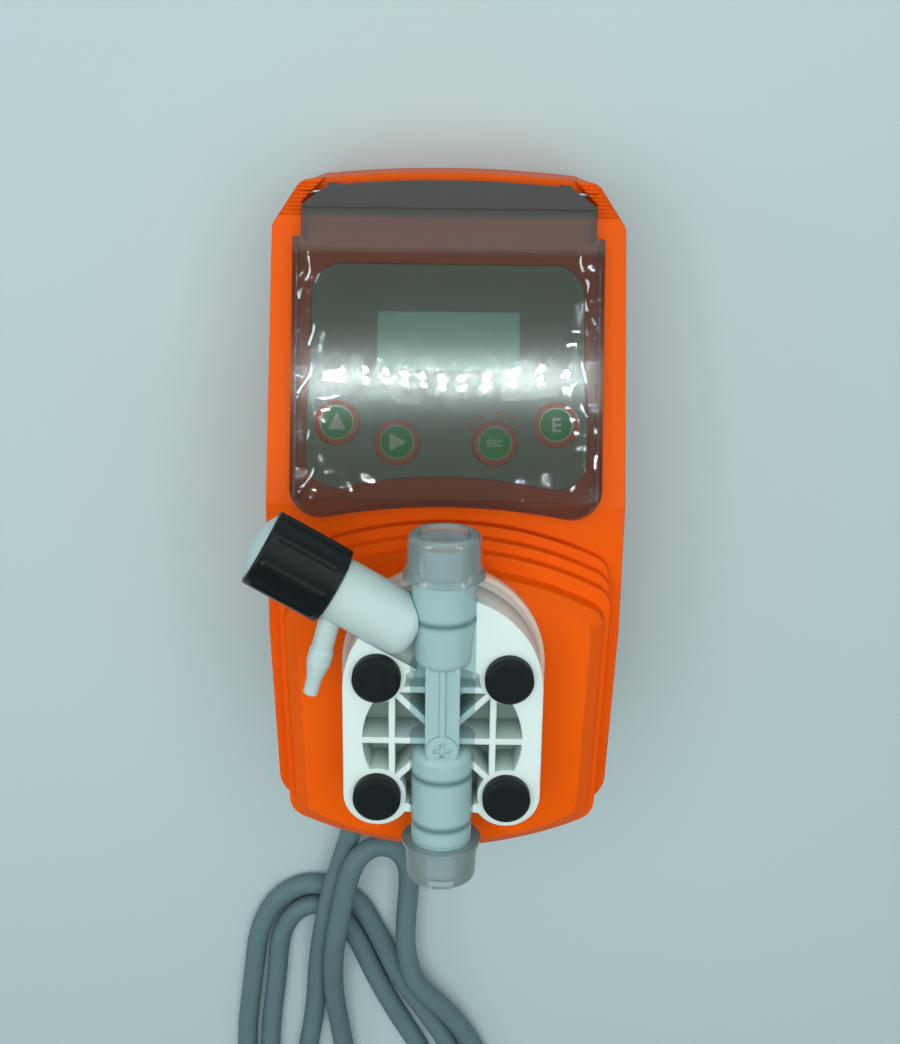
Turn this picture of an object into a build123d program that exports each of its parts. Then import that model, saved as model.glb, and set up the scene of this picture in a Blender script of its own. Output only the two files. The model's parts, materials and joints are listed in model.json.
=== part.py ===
"""Diaphragm metering pump, lying on its back.

Millimetres. X is across the pump, +Y runs towards the display end, +Z points out of the pump's
front. The origin is on the back face, at the centre of the four wall screws.
"""
import os
from math import cos, radians, sin, tan

from build123d import *

os.makedirs("parts", exist_ok=True)

# ---------------------------------------------------------------- housing
housing_half_width = 53.5        # at the rim, down to the waist
housing_foot_half_width = 51.2   # at the rim's bottom corners
housing_top_y = 97.0
housing_top_bow = 2.6            # how far the top edge bows out between the shoulders
housing_foot_y = -92.0           # bottom corners
housing_foot_sag = 5.0           # how far the bottom bows out between them
waist_y = -35.0                  # the sides taper below this
shoulder_half_width = 45.5       # flat part of the top edge
shoulder_y = 84.0                # where the slanted top corners meet the sides
split_z = 55.0                   # joint between the two shells
rim_z = 95.0                     # front face below the display
wall = 2.6
rear_draft = 2.0                 # degrees
front_draft = 1.6
gasket_thickness = 1.6
gasket_overlap = 1.0             # the gasket is this much narrower than the shells' walls
housing_screw_radius = 1.9
housing_screw_places = [(-46.0, 68.0), (46.0, 68.0), (-41.0, -76.0), (41.0, -76.0)]
boss_radius = 4.4

# ---------------------------------------------------------------- wall mounting
wall_screw_spacing_x = 50.0
wall_screw_spacing_y = 150.0
wall_screw_hole_radius = 3.0
wall_screw_hole_depth = 11.0
wall_boss_radius = 6.5
wall_boss_height = 14.0

# ---------------------------------------------------------------- sloping display face
display_tilt = 18.0              # degrees back from the front face
display_foot_y = 5.0             # the slope starts here
face_thickness = 4.0
shoulder_bevel_y = 86.0          # the shoulders fall away more steeply above this
shoulder_bevel_tilt = 38.0
grip_groove_count = 9
grip_groove_pitch = 1.35
grip_groove_width = 0.6
grip_groove_depth = 0.5

# keypad overlay, in the slope's own plane: x across, y up the slope from its foot
panel_half_width = 40.6
panel_foot_half_width = 41.8
panel_foot = 2.4
panel_top = 71.5
panel_arch = 6.0                 # rise of the hollow bottom edge
panel_corner = 9.0
panel_recess = 1.2
panel_thickness = 0.9
panel_gap = 0.25
lcd_width = 42.4
lcd_height = 17.4
lcd_place = (0.2, 49.0)
lcd_gap = 0.3
button_radius = 6.8
button_gap = 0.15
button_height = 0.8              # above the overlay
button_travel = 0.6
button_round = 0.4
button_stem_radius = 2.2
button_names = ["up_button", "right_button", "esc_button", "enter_button"]
button_places = [(-32.7, 24.2), (-14.7, 18.5), (14.5, 18.5), (32.6, 24.2)]
board_width = 78.0
board_height = 62.0
board_place = (0.0, 37.0)
board_thickness = 1.6
board_depth = 9.5                # its front face below the display face
board_screw_spacing_x = 70.0
board_screw_spacing_y = 54.0
board_screw_radius = 1.2
switch_side = 6.0
switch_height = 2.5

# ---------------------------------------------------------------- hinged cover
cover_height = 8.0               # its window above the display face
cover_gap = 0.4                  # between its skirt and the face
cover_half_width = 45.7
cover_neck_half_width = 43.3     # beside the shoulders
cover_neck = 78.0                # up the slope
window_top = 86.3
window_foot_sag = 5.6
window_foot = -6.4               # lowest corners, down the slope from its foot line
window_wall = 1.6
window_plate = 2.0
hood_step = 0.8                  # the hood stands this much above the window
hood_rear_half_width = 36.8
hood_rear_y = 96.8
hood_rear_z = 63.4
hood_rear_bow = 2.0
hood_wall = 2.0
hood_gap = 0.9                   # to the shoulders on each side
pivot_y = 92.6
pivot_z = 61.5
pivot_pin_radius = 1.0
pivot_barrel_radius = 3.0
pivot_arm_half_width = 36.6      # outer faces of the hinge arms
pivot_pin_reach = 7.6            # how far each pin goes into its shoulder, from the arm
pivot_arm_thickness = 3.4
pocket_floor_z = 57.5
pocket_floor_y = 87.0
running_gap = 0.06
thread_gap = 0.05                # screws and fixed pins in their holes
seat_gap = 0.3
film_thickness = 0.3
film_foot = 1.0
film_top = 74.5
film_half_width = 44.6

# ---------------------------------------------------------------- nose
nose_half_width = 49.4
nose_foot_half_width = 47.0
nose_front_z = 114.5
nose_foot_y = -91.5
nose_foot_sag = 11.5
nose_draft = 6.0
nose_bevel = 3.6
nose_wall = 5.0
nose_corner = 7.0
step_radii = [106.0, 102.8, 99.8, 97.2]
step_fronts = [98.6, 102.4, 106.2]
step_centre_y = -105.6

# ---------------------------------------------------------------- drive
head_y = -50.3                   # axis of the solenoid, diaphragm and head
head_screw_offset = 18.4         # half the side of the screws' square
yoke_side = 56.0
yoke_wall = 3.0
yoke_rear_z = 30.0
yoke_front_z = 92.0
yoke_plate = 5.0
coil_outer_radius = 24.0
plunger_gap = 0.08
core_radius = 8.4
core_stem_radius = 5.4
core_front_z = 52.0
plunger_radius = 8.4
plunger_rear_z = 54.0
plunger_front_z = 82.0
rod_radius = 3.0
spring_radius = 5.4
spring_wire = 0.6
spring_turns = 4
diaphragm_radius = 21.5
diaphragm_thickness = 2.4
diaphragm_hub_radius = 6.0
support_radius = 22.0
support_rear_z = 108.0
solenoid_screw_x = 20.5          # half their spacing each way
solenoid_screw_y = 24.5
solenoid_screw_radius = 1.8
head_thread_z = 99.0             # where the head screws end
head_boss_radius = 5.0

# ---------------------------------------------------------------- pump head
head_radius = 28.0               # arch at its top and half its width
head_arch_y = -36.0
head_lobe_radius = 9.6           # round each lower screw
head_foot_y = -74.2              # its foot between the lobes
flange_margin = 1.5              # the rear flange stands out this much
flange_thickness = 3.2
head_plate_z = 124.0             # floor of the pockets
head_front_z = 137.0             # front of the rim and the ribs
pocket_radius = 22.5             # round hollow in its front
pocket_y = -51.3
rib_thickness = 1.8
tower_radius = 8.2
shelf_z = 131.0                  # shallower floor above the short ribs
shelf_rib_y = -35.9
cross_rib_y = -51.6
cap_radius = 6.8
cap_rim = 4.0                    # the cap's height above its seat
cap_stem_radius = 4.9
cap_gap = 0.12
head_screw_head_radius = 4.2
head_screw_head_height = 4.0
head_screw_radius = 2.5
washer_thickness = 1.0
screw_seat_z = 125.0
bar_half_width = 4.8
bar_front_z = 141.0
ridge_half_width = 0.85          # along the bar
ridge_height = 0.6
boss_y = -52.5
boss_front_z = 141.8
boss_recess = 0.5                # shallow cross in the boss
chamber_radius = 17.0
chamber_depth = 2.2
port_radius = 1.8
outlet_port_y = -35.5            # the ports rise from the chamber here
inlet_port_y = -57.2
rib_spread = 14.2

# ---------------------------------------------------------------- valves
valve_z = 135.0
tube_mouth_radius = 8.9          # of the outlet, which narrows slightly
tube_radius = 8.75
tube_tip_radius = 7.9
tube_tip_round = 3.0
inlet_tube_radius = 8.7
outlet_mouth_y = -3.6
outlet_taper_y = -16.0
outlet_tip_y = -28.9
inlet_tip_y = -54.0
inlet_mouth_y = -82.0
cartridge_radius = 6.9
cartridge_gap = 0.08
outlet_seat_y = -16.0            # front faces of the two ball seats
inlet_seat_y = -66.0
seat_thickness = 1.5
seat_bore_radius = 1.6
cage_shoulder_radius = 1.8
cage_end = 2.0
collar_thickness = 1.0           # of each valve body, against the tube's mouth
thread_radius = 8.33
neck_bore_radius = 5.6           # of the threaded neck, as far as the collar
thread_length = 9.0
ball_radius = 2.4
ball_lift = 1.2
ball_room = 0.2
ring_radius = 0.9                # section of the O-rings
outlet_ring_y = -14.5
inlet_ring_y = -76.8             # on the inlet valve body
cage_ring_y = -61.8              # on the inlet cage
ring_groove_gap = 0.1
protective_cap_radius = 10.4
protective_tip_radius = 10.0
protective_shoulder = 1.8        # rounding of its closed end
protective_flange_radius = 11.4
protective_flange_thickness = 1.5
protective_gap = 0.25
protective_end = 1.5
protective_recess = 1.5          # depth of the hollow in the closed end
protective_recess_radius = 7.4

# ---------------------------------------------------------------- air bleed
bleed_angle = 30.0               # degrees above the X axis, to the left
bleed_y = -23.6                  # where its axis crosses the head's centre line
bleed_radius = 9.0
bleed_start = 8.9
bleed_round = 4.6
bleed_channel_gap = 0.25
bleed_passage_radius = 1.0
bleed_end = 34.3
bleed_neck_radius = 6.6
bleed_neck_end = 48.0
bleed_spigot_radius = 1.8
bleed_spigot_start = 7.6
knob_start = 34.9
knob_end = 57.4
knob_radius = 11.0
knob_wall_start = 48.8           # inner face of its closed end
knob_flutes = 8
flute_radius = 1.5               # of the raised ribs round it
flute_inset = 0.95               # how deep their centres lie
flute_margin = 1.2               # plain stretch at both ends of the ribs
knob_cap_radius = 9.4
knob_cap_rim = 0.8
knob_cap_dome = 3.0
needle_radius = 2.0
needle_start = 24.0
needle_room_radius = 2.8
needle_guide = 38.0              # its bore is close round it from here on
bleed_ring_place = 42.0
bleed_ring_radius = 0.8
nipple_place = 31.0              # along the bleed axis, where it leaves the body
nipple_angle = 104.5              # degrees from +X, clockwise, seen from the front
nipple_length = 23.0
nipple_radius = 3.05
nipple_barb_radius = 3.4
nipple_tip_radius = 2.05
nipple_neck = 8.6                # along the nipple: its barb starts
nipple_cone = 13.4               # the barb narrows
nipple_tip = 18.4                # the plain tip starts
nipple_bore = 1.3

# ---------------------------------------------------------------- mains lead
cord_radius = 4.0
cord_exit = (-33.0, 26.0)        # x and z
gland_nut_radius = 9.0
gland_nut_length = 6.0
gland_sleeve_radius = 6.2
gland_length = 28.0
gland_boss_radius = 10.5
gland_flange_place = 7.0         # its inner flange, this far inside the outer one
gland_flange_radius = 7.6
cord_bends = [(-33.0, -132.0, 26.0), (-35.0, -142.5, 15.0)]
coil_top_y = -152.0
coil_foot_y = -352.0
coil_left_x = -88.0
coil_right_x = 30.0
coil_height = 24.0
coil_hole_width = 30.0
coil_entry_x = -35.0
coil_entry_z = 15.0
coil_corner = 45.0
plug_x = -30.0
plug_grip_length = 30.0
plug_grip_radius = 6.5
plug_body_radius = 19.0
plug_body_length = 26.0
plug_pin_radius = 2.4
plug_pin_length = 19.0
plug_pin_spacing = 19.0

# ---------------------------------------------------------------- derived places
slope = radians(display_tilt)
display_face = Plane(origin=(0, display_foot_y, rim_z), x_dir=(1, 0, 0), z_dir=(0, sin(slope), cos(slope)))
face_axis = Axis(display_face.origin, display_face.z_dir)
shoulder_z = rim_z - (shoulder_bevel_y - display_foot_y) * tan(slope)
bevel = radians(shoulder_bevel_tilt)
shoulder_face = Plane(
    origin=(0, shoulder_bevel_y, shoulder_z), x_dir=(1, 0, 0), z_dir=(0, sin(bevel), cos(bevel))
)
rear_height = split_z - gasket_thickness / 2
front_start_z = split_z + gasket_thickness / 2
valve_sheet = Plane.XY.offset(valve_z)
valve_axis = Axis((0, 0, valve_z), (0, 1, 0))
tilt = radians(bleed_angle)
bleed_sheet = Plane(origin=(0, bleed_y, valve_z), x_dir=(-cos(tilt), sin(tilt), 0), z_dir=(0, 0, 1))
bleed_axis = Axis(bleed_sheet.origin, bleed_sheet.x_dir)
screw_square = [
    (x * head_screw_offset, head_y + y * head_screw_offset) for x in (-1, 1) for y in (1, -1)
]
gland_wall_y = housing_foot_y - 2.0


def across_y(y, x=0.0, z=valve_z):
    """Plane square to the Y axis, facing +Y, with its own x along the pump's X."""
    return Plane(origin=(x, y, z), x_dir=(1, 0, 0), z_dir=(0, 1, 0))


def housing_outline(inset):
    """Outline of the housing in plan, this far inside the rim."""
    with BuildSketch() as sketch:
        with BuildLine():
            Polyline(
                (housing_foot_half_width, housing_foot_y),
                (housing_half_width, waist_y),
                (housing_half_width, shoulder_y),
                (shoulder_half_width, housing_top_y),
            )
            ThreePointArc(
                (shoulder_half_width, housing_top_y),
                (0, housing_top_y + housing_top_bow),
                (-shoulder_half_width, housing_top_y),
            )
            Polyline(
                (-shoulder_half_width, housing_top_y),
                (-housing_half_width, shoulder_y),
                (-housing_half_width, waist_y),
                (-housing_foot_half_width, housing_foot_y),
            )
            ThreePointArc(
                (-housing_foot_half_width, housing_foot_y),
                (0, housing_foot_y - housing_foot_sag),
                (housing_foot_half_width, housing_foot_y),
            )
        make_face()
        fillet(sketch.vertices().sort_by(Axis.Y)[:2], radius=9.0)
        fillet(sketch.vertices().sort_by(Axis.Y)[-4:], radius=5.0)
        offset(amount=-inset, kind=Kind.INTERSECTION)
    return sketch.sketch


def nose_outline(top_radius, inset=0.0):
    """Outline of the nose or of one of its steps: arched top, tapering sides, bowed foot."""
    half_width = nose_half_width - inset
    foot_half_width = nose_foot_half_width - inset
    radius = top_radius - inset
    foot_y = nose_foot_y + inset
    corner_y = step_centre_y + (radius**2 - half_width**2) ** 0.5
    with BuildSketch() as sketch:
        with BuildLine():
            Polyline((half_width, corner_y), (foot_half_width, foot_y))
            ThreePointArc((foot_half_width, foot_y), (0, foot_y - nose_foot_sag), (-foot_half_width, foot_y))
            Polyline((-foot_half_width, foot_y), (-half_width, corner_y))
            ThreePointArc((-half_width, corner_y), (0, step_centre_y + radius), (half_width, corner_y))
        make_face()
        fillet(sketch.vertices(), radius=nose_corner - inset / 2)
    return sketch.sketch


def above(plane, height=80.0):
    """Block that holds everything on the outer side of a sloping face, from its foot upwards."""
    with BuildPart() as block:
        with BuildSketch(plane):
            Rectangle(200, 220, align=(Align.CENTER, Align.MIN))
        extrude(amount=height)
    return block.part


def front_cavity():
    """Space inside the front housing, under the display slope and inside the nose."""
    with BuildPart() as space:
        with BuildSketch(Plane.XY.offset(front_start_z - 1)):
            add(housing_outline(wall + 1.2))
        extrude(amount=rim_z - wall - front_start_z + 1, taper=-front_draft)
        add(above(display_face.offset(-face_thickness)), mode=Mode.SUBTRACT)
        add(above(shoulder_face.offset(-wall)), mode=Mode.SUBTRACT)
        with BuildSketch(Plane.XY.offset(pocket_floor_z - wall)):
            with Locations((0, pocket_floor_y - wall)):
                Rectangle(200, 60, align=(Align.CENTER, Align.MIN))
        extrude(amount=60, mode=Mode.SUBTRACT)
        with BuildSketch(Plane.XY.offset(front_start_z)):
            add(nose_outline(step_radii[-1], inset=wall + 3.0))
        extrude(amount=nose_front_z - nose_wall - front_start_z)
    return space.part


def hood_pocket(gap):
    """Space between the shoulders for the cover's hood, open upwards and to the rear."""
    rear = hood_rear_half_width + gap
    front = cover_neck_half_width + gap
    with BuildPart() as space:
        with BuildSketch(Plane.XY.offset(pocket_floor_z)):
            with BuildLine():
                Polyline(
                    (-rear, housing_top_y + 10), (-rear, housing_top_y), (-front, window_top + 4),
                    (-front, pocket_floor_y), (front, pocket_floor_y), (front, window_top + 4),
                    (rear, housing_top_y), (rear, housing_top_y + 10), close=True,
                )
            make_face()
        extrude(amount=60)
    return space.part


def panel_outline(gap=0.0):
    """Keypad overlay in the slope's plane, with a hollow arch along its bottom edge."""
    with BuildSketch() as sketch:
        with BuildLine():
            Polyline(
                (panel_foot_half_width, panel_foot), (panel_foot_half_width, panel_top * 0.35),
                (panel_half_width, panel_top * 0.55), (panel_half_width, panel_top),
                (-panel_half_width, panel_top), (-panel_half_width, panel_top * 0.55),
                (-panel_foot_half_width, panel_top * 0.35), (-panel_foot_half_width, panel_foot),
            )
            ThreePointArc(
                (-panel_foot_half_width, panel_foot), (0, panel_foot + panel_arch),
                (panel_foot_half_width, panel_foot),
            )
        make_face()
        fillet(sketch.vertices().sort_by(Axis.Y)[:2], radius=panel_corner)
        fillet(sketch.vertices().sort_by(Axis.Y)[-2:], radius=panel_corner)
        offset(amount=gap, kind=Kind.INTERSECTION)
    return sketch.sketch


def window_outline(inset=0.0):
    """Cover window in the slope's plane, narrower beside the shoulders."""
    with BuildSketch() as sketch:
        with BuildLine():
            Polyline(
                (cover_half_width - inset, window_foot + inset), (cover_half_width - inset, cover_neck),
                (cover_neck_half_width - inset, cover_neck), (cover_neck_half_width - inset, window_top),
                (-cover_neck_half_width + inset, window_top), (-cover_neck_half_width + inset, cover_neck),
                (-cover_half_width + inset, cover_neck), (-cover_half_width + inset, window_foot + inset),
            )
            ThreePointArc(
                (-cover_half_width + inset, window_foot + inset),
                (0, window_foot + window_foot_sag + inset),
                (cover_half_width - inset, window_foot + inset),
            )
        make_face()
        fillet(sketch.vertices().sort_by(Axis.Y)[:2], radius=9.0 - inset)
    return sketch.sketch


# ================================================================ housing
with BuildPart() as rear_housing:
    with BuildSketch():
        add(housing_outline(3.4))
    extrude(amount=rear_height, taper=-rear_draft)
    with BuildSketch(Plane.XY.offset(wall)):
        add(housing_outline(3.4 + wall))
    extrude(amount=rear_height - wall, taper=-rear_draft, mode=Mode.SUBTRACT)
    with BuildSketch(Plane.XY.offset(wall)):
        with Locations(*housing_screw_places):
            Circle(boss_radius)
    extrude(amount=rear_height - wall)
    with BuildSketch():
        with Locations(*housing_screw_places):
            Circle(housing_screw_radius + 0.3)
    extrude(amount=rear_height, mode=Mode.SUBTRACT)
    with BuildSketch():
        with Locations(*housing_screw_places):
            Circle(3.9)
    extrude(amount=4.0, mode=Mode.SUBTRACT)
    with BuildSketch():
        with GridLocations(wall_screw_spacing_x, wall_screw_spacing_y, 2, 2):
            Circle(wall_boss_radius)
    extrude(amount=wall_boss_height)
    with BuildSketch():
        with GridLocations(wall_screw_spacing_x, wall_screw_spacing_y, 2, 2):
            Circle(wall_screw_hole_radius)
    extrude(amount=wall_screw_hole_depth, mode=Mode.SUBTRACT)
    with BuildSketch(across_y(gland_wall_y, *cord_exit)):
        Circle(gland_boss_radius)
    extrude(amount=gland_flange_place)
    with BuildSketch(across_y(gland_wall_y + 14, *cord_exit)):
        Circle(gland_sleeve_radius + thread_gap)
    extrude(amount=-30, mode=Mode.SUBTRACT)
rear_housing.part.label = "rear_housing"
export_step(rear_housing.part, "parts/rear_housing.step")

with BuildPart() as housing_gasket:
    with BuildSketch(Plane.XY.offset(rear_height)):
        add(housing_outline(1.9 + gasket_overlap / 2))
        add(housing_outline(1.9 + wall - gasket_overlap / 2), mode=Mode.SUBTRACT)
        with Locations(*housing_screw_places):
            Circle(housing_screw_radius + 1.2, mode=Mode.SUBTRACT)
    extrude(amount=gasket_thickness)
housing_gasket.part.label = "housing_gasket"
export_step(housing_gasket.part, "parts/housing_gasket.step")

with BuildPart() as front_housing:
    with BuildSketch(Plane.XY.offset(front_start_z)):
        add(housing_outline(1.1))
    extrude(amount=rim_z - front_start_z, taper=-front_draft)
    add(above(display_face), mode=Mode.SUBTRACT)
    add(above(shoulder_face), mode=Mode.SUBTRACT)
    add(hood_pocket(hood_gap), mode=Mode.SUBTRACT)
    for step_radius, step_front in zip(step_radii, step_fronts):
        with BuildSketch(Plane.XY.offset(rim_z - 8)):
            add(nose_outline(step_radius))
        extrude(amount=step_front - rim_z + 8)
    nose_inset = (nose_front_z - rim_z + 8) * tan(radians(nose_draft))
    with BuildSketch(Plane.XY.offset(rim_z - 8)):
        add(nose_outline(step_radii[-1]))
    with BuildSketch(Plane.XY.offset(nose_front_z)):
        add(nose_outline(step_radii[-1], nose_inset))
    loft(ruled=True)
    chamfer(front_housing.faces().sort_by(Axis.Z)[-1].edges(), length=nose_bevel)
    add(front_cavity(), mode=Mode.SUBTRACT)
    # bosses for the housing screws, the head screws and the solenoid screws
    for place in housing_screw_places:
        slope_z = rim_z - face_thickness - (place[1] - display_foot_y) * tan(slope)
        boss_top = min(slope_z, nose_front_z - 2 * nose_wall)
        with BuildSketch(Plane.XY.offset(front_start_z)):
            with Locations(place):
                Circle(boss_radius)
        extrude(amount=boss_top - front_start_z)
    with BuildSketch(Plane.XY.offset(head_thread_z - 2)):
        with Locations(*screw_square):
            Circle(head_boss_radius)
    extrude(amount=nose_front_z - nose_wall - head_thread_z + 2)
    with BuildSketch(Plane.XY.offset(yoke_front_z + yoke_plate)):
        with Locations((0, head_y)):
            with GridLocations(2 * solenoid_screw_x, 2 * solenoid_screw_y, 2, 2):
                Circle(solenoid_screw_radius + 2.2)
    extrude(amount=nose_front_z - nose_wall - yoke_front_z - yoke_plate)
    with BuildSketch(Plane.XY.offset(front_start_z)):
        with Locations(*housing_screw_places):
            Circle(housing_screw_radius + thread_gap)
    extrude(amount=12, mode=Mode.SUBTRACT)
    with BuildSketch(Plane.XY.offset(head_thread_z)):
        with Locations(*screw_square):
            Circle(head_screw_radius + thread_gap)
    extrude(amount=30, mode=Mode.SUBTRACT)
    with BuildSketch(Plane.XY.offset(yoke_front_z)):
        with Locations((0, head_y)):
            with GridLocations(2 * solenoid_screw_x, 2 * solenoid_screw_y, 2, 2):
                Circle(solenoid_screw_radius + thread_gap)
    extrude(amount=yoke_plate + 11, mode=Mode.SUBTRACT)
    with BuildSketch(Plane.XY.offset(support_rear_z - 1)):
        with Locations((0, head_y)):
            Circle(support_radius + running_gap)
    extrude(amount=30, mode=Mode.SUBTRACT)
    # display face: recess for the overlay, window, button holes and board posts
    with BuildSketch(display_face):
        add(panel_outline(panel_gap))
    extrude(amount=-panel_recess, mode=Mode.SUBTRACT)
    with BuildSketch(display_face.offset(-face_thickness)):
        with GridLocations(board_screw_spacing_x, board_screw_spacing_y, 2, 2):
            with Locations(board_place):
                Circle(3.0)
    extrude(amount=face_thickness - board_depth)
    with BuildSketch(display_face):
        with Locations(lcd_place):
            Rectangle(lcd_width + 2 * lcd_gap, lcd_height + 2 * lcd_gap)
        with Locations(*button_places):
            Circle(button_stem_radius + 0.3)
    extrude(amount=-face_thickness - 2, mode=Mode.SUBTRACT)
    with BuildSketch(display_face.offset(-board_depth)):
        with GridLocations(board_screw_spacing_x, board_screw_spacing_y, 2, 2):
            with Locations(board_place):
                Circle(board_screw_radius + thread_gap)
    extrude(amount=5, mode=Mode.SUBTRACT)
    # hinge pin holes in the shoulders
    with BuildSketch(Plane.YZ):
        with Locations((pivot_y, pivot_z)):
            Circle(pivot_pin_radius + thread_gap)
    extrude(amount=pivot_arm_half_width + pivot_pin_reach + seat_gap, both=True, mode=Mode.SUBTRACT)
    # finger grooves across both shoulders
    for row in range(grip_groove_count):
        with BuildSketch(shoulder_face.offset(-grip_groove_depth)):
            with Locations((0, 1.2 + row * grip_groove_pitch)):
                Rectangle(140, grip_groove_width)
        extrude(amount=grip_groove_depth + 1, mode=Mode.SUBTRACT)
front_housing.part.label = "front_housing"
export_step(front_housing.part, "parts/front_housing.step")

with BuildPart() as housing_screws:
    with BuildSketch(Plane.XY.offset(0.6)):
        with Locations(*housing_screw_places):
            Circle(3.5)
    extrude(amount=3.4)
    with BuildSketch(Plane.XY.offset(0.6)):
        with Locations(*housing_screw_places):
            Circle(housing_screw_radius)
    extrude(amount=front_start_z + 10)
housing_screws.part.label = "housing_screws"
export_step(housing_screws.part, "parts/housing_screws.step")

# ================================================================ display
with BuildPart() as keypad_panel:
    with BuildSketch(display_face.offset(-panel_recess)):
        add(panel_outline())
        with Locations(lcd_place):
            Rectangle(lcd_width, lcd_height, mode=Mode.SUBTRACT)
        with Locations(*button_places):
            Circle(button_radius + button_gap, mode=Mode.SUBTRACT)
    extrude(amount=panel_thickness)
keypad_panel.part.label = "keypad_panel"
export_step(keypad_panel.part, "parts/keypad_panel.step")

button_foot = board_depth - switch_height - button_travel - 0.1
for button_name, button_place in zip(button_names, button_places):
    with BuildPart() as button:
        with BuildSketch(display_face.offset(-panel_recess + button_travel + 0.05)):
            with Locations(button_place):
                Circle(button_radius)
        extrude(amount=panel_thickness + button_height - button_travel)
        fillet(button.edges().sort_by(face_axis)[-1], radius=button_round)
        with BuildSketch(display_face.offset(-button_foot)):
            with Locations(button_place):
                Circle(button_stem_radius)
        extrude(amount=button_foot - panel_recess + button_travel + 0.4)
    button.part.label = button_name
    export_step(button.part, f"parts/{button_name}.step")

with BuildPart() as lcd_module:
    with BuildSketch(display_face.offset(-board_depth)):
        with Locations(lcd_place):
            Rectangle(lcd_width + 6, lcd_height + 6)
    extrude(amount=board_depth - face_thickness - seat_gap)
    with BuildSketch(display_face.offset(-board_depth)):
        with Locations(lcd_place):
            Rectangle(lcd_width - 0.1, lcd_height - 0.1)
    extrude(amount=board_depth - panel_recess + 0.1)
lcd_module.part.label = "lcd_module"
export_step(lcd_module.part, "parts/lcd_module.step")

with BuildPart() as circuit_board:
    with BuildSketch(display_face.offset(-board_depth - board_thickness)):
        with Locations(board_place):
            Rectangle(board_width, board_height)
        with GridLocations(board_screw_spacing_x, board_screw_spacing_y, 2, 2):
            with Locations(board_place):
                Circle(board_screw_radius + 0.2, mode=Mode.SUBTRACT)
    extrude(amount=board_thickness)
circuit_board.part.label = "circuit_board"
export_step(circuit_board.part, "parts/circuit_board.step")

with BuildPart() as key_switches:
    with BuildSketch(display_face.offset(-board_depth)):
        with Locations(*button_places):
            Rectangle(switch_side, switch_side)
    extrude(amount=switch_height)
key_switches.part.label = "key_switches"
export_step(key_switches.part, "parts/key_switches.step")

with BuildPart() as board_screws:
    with BuildSketch(display_face.offset(-board_depth - board_thickness)):
        with GridLocations(board_screw_spacing_x, board_screw_spacing_y, 2, 2):
            with Locations(board_place):
                Circle(2.3)
    extrude(amount=-1.8)
    with BuildSketch(display_face.offset(-board_depth - board_thickness - 0.5)):
        with GridLocations(board_screw_spacing_x, board_screw_spacing_y, 2, 2):
            with Locations(board_place):
                Circle(board_screw_radius)
    extrude(amount=board_thickness + 4.5)
board_screws.part.label = "board_screws"
export_step(board_screws.part, "parts/board_screws.step")

# ================================================================ hinged cover
with BuildPart() as cover_window:
    with BuildSketch(display_face.offset(cover_gap)):
        add(window_outline())
    extrude(amount=cover_height - cover_gap)
    with BuildSketch(display_face.offset(cover_gap)):
        add(window_outline(window_wall))
        with Locations((0, window_top)):
            Rectangle(2 * (cover_neck_half_width - window_wall), 12, mode=Mode.ADD)
    extrude(amount=cover_height - cover_gap - window_plate, mode=Mode.SUBTRACT)
cover_window.part.label = "cover_window"
export_step(cover_window.part, "parts/cover_window.step")

hood_front = display_face.location * Location((0, window_top, cover_height + hood_step))
hood_front_y, hood_front_z = hood_front.position.Y, hood_front.position.Z
hood_lip = display_face.location * Location((0, window_top, cover_gap))
with BuildPart() as cover_hood:
    with BuildSketch(Plane.YZ):
        with BuildLine():
            Polyline(
                (hood_lip.position.Y, hood_lip.position.Z), (hood_front_y, hood_front_z),
                (hood_rear_y, hood_rear_z), (hood_rear_y - 1.6, hood_rear_z - 1.8),
                (hood_front_y + 1.4, hood_front_z - 4.0),
                (hood_lip.position.Y + hood_wall, hood_lip.position.Z - 0.4), close=True,
            )
        make_face()
    extrude(amount=cover_neck_half_width, both=True)
    with BuildSketch(Plane.XY.offset(pocket_floor_z)):
        with BuildLine():
            hood_corner_y = hood_rear_y - hood_rear_bow
            Polyline(
                (-hood_rear_half_width, hood_corner_y), (-cover_neck_half_width, window_top + 4),
                (-cover_neck_half_width, 60), (cover_neck_half_width, 60),
                (cover_neck_half_width, window_top + 4), (hood_rear_half_width, hood_corner_y),
            )
            ThreePointArc(
                (hood_rear_half_width, hood_corner_y), (0, hood_rear_y + 0.01),
                (-hood_rear_half_width, hood_corner_y),
            )
        make_face()
    extrude(amount=60, mode=Mode.INTERSECT)
    for side in (-1, 1):
        arm_x = side * (pivot_arm_half_width - pivot_arm_thickness / 2)
        with BuildSketch(Plane.YZ.offset(arm_x)):
            with Locations((pivot_y, pivot_z)):
                Circle(pivot_barrel_radius)
            with BuildLine():
                Polyline(
                    (pivot_y + 2.9, pivot_z + 0.6), (hood_rear_y - 1.2, hood_rear_z - 0.4),
                    (hood_front_y + 1.8, hood_front_z - 4.4), (pivot_y - 2.2, pivot_z - 2.0), close=True,
                )
            make_face()
            with Locations((pivot_y, pivot_z)):
                Circle(pivot_pin_radius + running_gap, mode=Mode.SUBTRACT)
        extrude(amount=pivot_arm_thickness / 2, both=True)
cover_hood.part.label = "cover_hood"
export_step(cover_hood.part, "parts/cover_hood.step")

with BuildPart() as hinge_pins:
    for side in (-1, 1):
        with BuildSketch(Plane.YZ.offset(side * (pivot_arm_half_width - pivot_arm_thickness))):
            with Locations((pivot_y, pivot_z)):
                Circle(pivot_pin_radius)
        extrude(amount=side * (pivot_arm_thickness + pivot_pin_reach))
hinge_pins.part.label = "hinge_pins"
export_step(hinge_pins.part, "parts/hinge_pins.step")

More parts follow.
